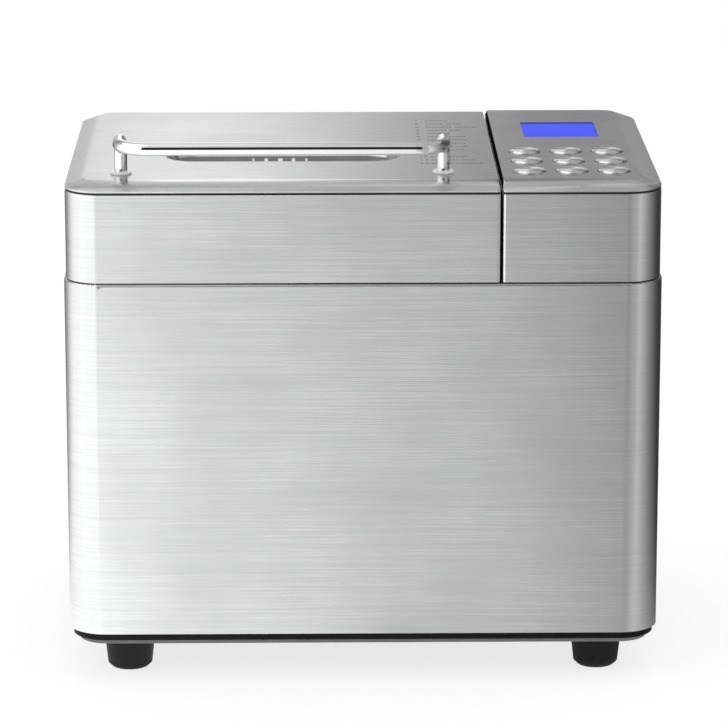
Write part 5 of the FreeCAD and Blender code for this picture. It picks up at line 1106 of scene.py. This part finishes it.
class BREADMACHINE_OT_stage(DressOperator, bpy.types.Operator):
    """Floor, white room, lamps, cards and camera"""

    bl_idname = "bread_machine.stage"
    bl_label = "Stage"

    floor_size = 24
    floor_drop = 0.2 * MM
    floor_shade = 0.995
    floor_card_height = 4 * MM
    front_card_height = 6 * MM
    front_gap = 0.03
    front_width = 0.40
    lens_card = {"y": -2.95, "half_width": 2.5, "low": 0.20, "high": 2.85}
    rear_card = {"y": 2.2, "half_width": 0.9, "low": 0.72, "high": 1.40}
    key_lamp = {"place": (-1.5, -1.1, 1.7), "target": (0, 0, 0.2), "width": 1.2, "height": 1.2}
    top_lamp = {"place": (0.1, 0.2, 2.2), "target": (0, 0, 0.3), "width": 1.6, "height": 1.0}

    def execute(self, context):
        stage = settings_of(context).stage
        scene = context.scene
        scene.view_settings.view_transform = "Standard"
        self.make_room(scene, stage)
        self.make_floor(stage)
        lamp("Key lamp", power=stage.key_power, **self.key_lamp)
        lamp("Top lamp", power=stage.top_power, **self.top_lamp)
        self.make_cards()
        self.make_camera(scene, stage)
        return {"FINISHED"}

    def make_room(self, scene, stage):
        room = bpy.data.worlds.new("White room")
        room.use_nodes = True
        tree = room.node_tree
        tree.nodes.clear()
        output = add(tree, "ShaderNodeOutputWorld")
        glow = add(tree, "ShaderNodeBackground", {"Color": (1, 1, 1, 1)})
        tree.links.new(spread(tree, seen_rays(tree), stage.ambient, 1.0), glow.inputs["Strength"])
        tree.links.new(glow.outputs["Background"], output.inputs["Surface"])
        scene.world = room

    def make_floor(self, stage):
        deselect()
        bpy.ops.mesh.primitive_plane_add(size=self.floor_size, location=(0, 0, -self.floor_drop))
        floor = bpy.context.object
        floor.name = "Floor"
        material, tree, shader = start_material("Pale floor", Specular_IOR_Level=0.0, Roughness=1.0)
        tone = use_group(tree, MOTTLE, object_vector(tree), scale=3.0)
        low = [value * self.floor_shade for value in stage.floor[:3]]
        feed(tree, shader, Base_Color=mix_colour(tree, tone.outputs["Value"], (*low, 1), stage.floor))
        white = add(tree, "ShaderNodeEmission", {"Color": (1, 1, 1, 1), "Strength": 1.0})
        blend = add(tree, "ShaderNodeMixShader")
        tree.links.new(math_node(tree, "MULTIPLY", seen_rays(tree), stage.floor_white), blend.inputs[0])
        tree.links.new(shader.outputs["BSDF"], blend.inputs[1])
        tree.links.new(white.outputs["Emission"], blend.inputs[2])
        output = next(node for node in tree.nodes if node.type == "OUTPUT_MATERIAL")
        tree.links.new(blend.outputs["Shader"], output.inputs["Surface"])
        floor.data.materials.append(material)

    def make_cards(self):
        deselect()
        bpy.ops.mesh.primitive_cylinder_add(vertices=128, radius=ROOM, depth=ROOM_HEIGHT,
                                            end_fill_type="NOTHING", location=(0, 0, ROOM_HEIGHT / 2))
        wall = bpy.context.object
        apply_place(wall)
        bpy.ops.object.shade_smooth()
        floor_z = self.floor_card_height
        front_z = self.front_card_height
        floor = flat_card((-ROOM, -ROOM, floor_z), (ROOM, ROOM, floor_z))
        ceiling = flat_card((-ROOM, -ROOM, ROOM_HEIGHT), (ROOM, ROOM, ROOM_HEIGHT))
        half = self.front_width / 2
        far_width = self.front_width * (FAN_POINT + ROOM) / (FAN_POINT - FRONT_Y)
        front = flat_card((-half, -ROOM, front_z), (half, FRONT_Y - self.front_gap, front_z), far_width)
        reflect_only(wall, "Wall card", WALL_LIGHT, "angle")
        reflect_only(floor, "Floor card", FLOOR_LIGHT, "angle")
        reflect_only(front, "Front card", FRONT_LIGHT, "fan")
        reflect_only(ceiling, "Ceiling card", CEILING_LIGHT, "angle")
        reflect_only(upright_card(**self.lens_card), "Lens card", LENS_LIGHT, "width")
        reflect_only(upright_card(**self.rear_card), "Rear card", REAR_LIGHT, "width")

    def make_camera(self, scene, stage):
        data = bpy.data.cameras.new("Camera")
        data.sensor_width = 36
        data.lens = stage.lens
        data.clip_end = 50
        camera = bpy.data.objects.new("Camera", data)
        scene.collection.objects.link(camera)
        camera.location = stage.camera_place
        camera.rotation_euler = (math.pi / 2 - stage.camera_pitch, 0, -stage.camera_yaw)
        scene.camera = camera


OPERATORS = (
    BREADMACHINE_OT_steel_panels, BREADMACHINE_OT_base, BREADMACHINE_OT_lid, BREADMACHINE_OT_handle,
    BREADMACHINE_OT_controls, BREADMACHINE_OT_chamber, BREADMACHINE_OT_pan, BREADMACHINE_OT_drive,
    BREADMACHINE_OT_electrics, BREADMACHINE_OT_program_list, BREADMACHINE_OT_button_marks,
    BREADMACHINE_OT_window_marks, BREADMACHINE_OT_stage,
)


class BreadMachineSettings(bpy.types.PropertyGroup):
    """All settings of the bread machine's looks."""

    steel: PointerProperty(type=SteelSettings, name="Steel", description="Brushed steel")
    print: PointerProperty(type=PrintSettings, name="Print", description="Printed marks")
    stage: PointerProperty(type=StageSettings, name="Stage", description="Studio")


class BREADMACHINE_PT_panel(bpy.types.Panel):
    """Lists the settings and the operators."""

    bl_idname = "BREADMACHINE_PT_panel"
    bl_label = "Bread machine"
    bl_space_type = "VIEW_3D"
    bl_region_type = "UI"
    bl_category = "Bread machine"

    def draw(self, context):
        settings = settings_of(context)
        for group in (settings.steel, settings.print, settings.stage):
            box = self.layout.box()
            for name in group.__annotations__:
                box.prop(group, name)
        for operator in OPERATORS:
            self.layout.operator(operator.bl_idname)


CLASSES = (SteelSettings, PrintSettings, StageSettings, BreadMachineSettings, *OPERATORS,
           BREADMACHINE_PT_panel)


def register():
    for cls in CLASSES:
        bpy.utils.register_class(cls)
    bpy.types.Scene.bread_machine = PointerProperty(type=BreadMachineSettings)


def unregister():
    del bpy.types.Scene.bread_machine
    for cls in reversed(CLASSES):
        bpy.utils.unregister_class(cls)


def main():
    register()
    deselect()
    for operator in OPERATORS:
        group, name = operator.bl_idname.split(".")
        getattr(getattr(bpy.ops, group), name)()


if __name__ == "__main__":
    main()
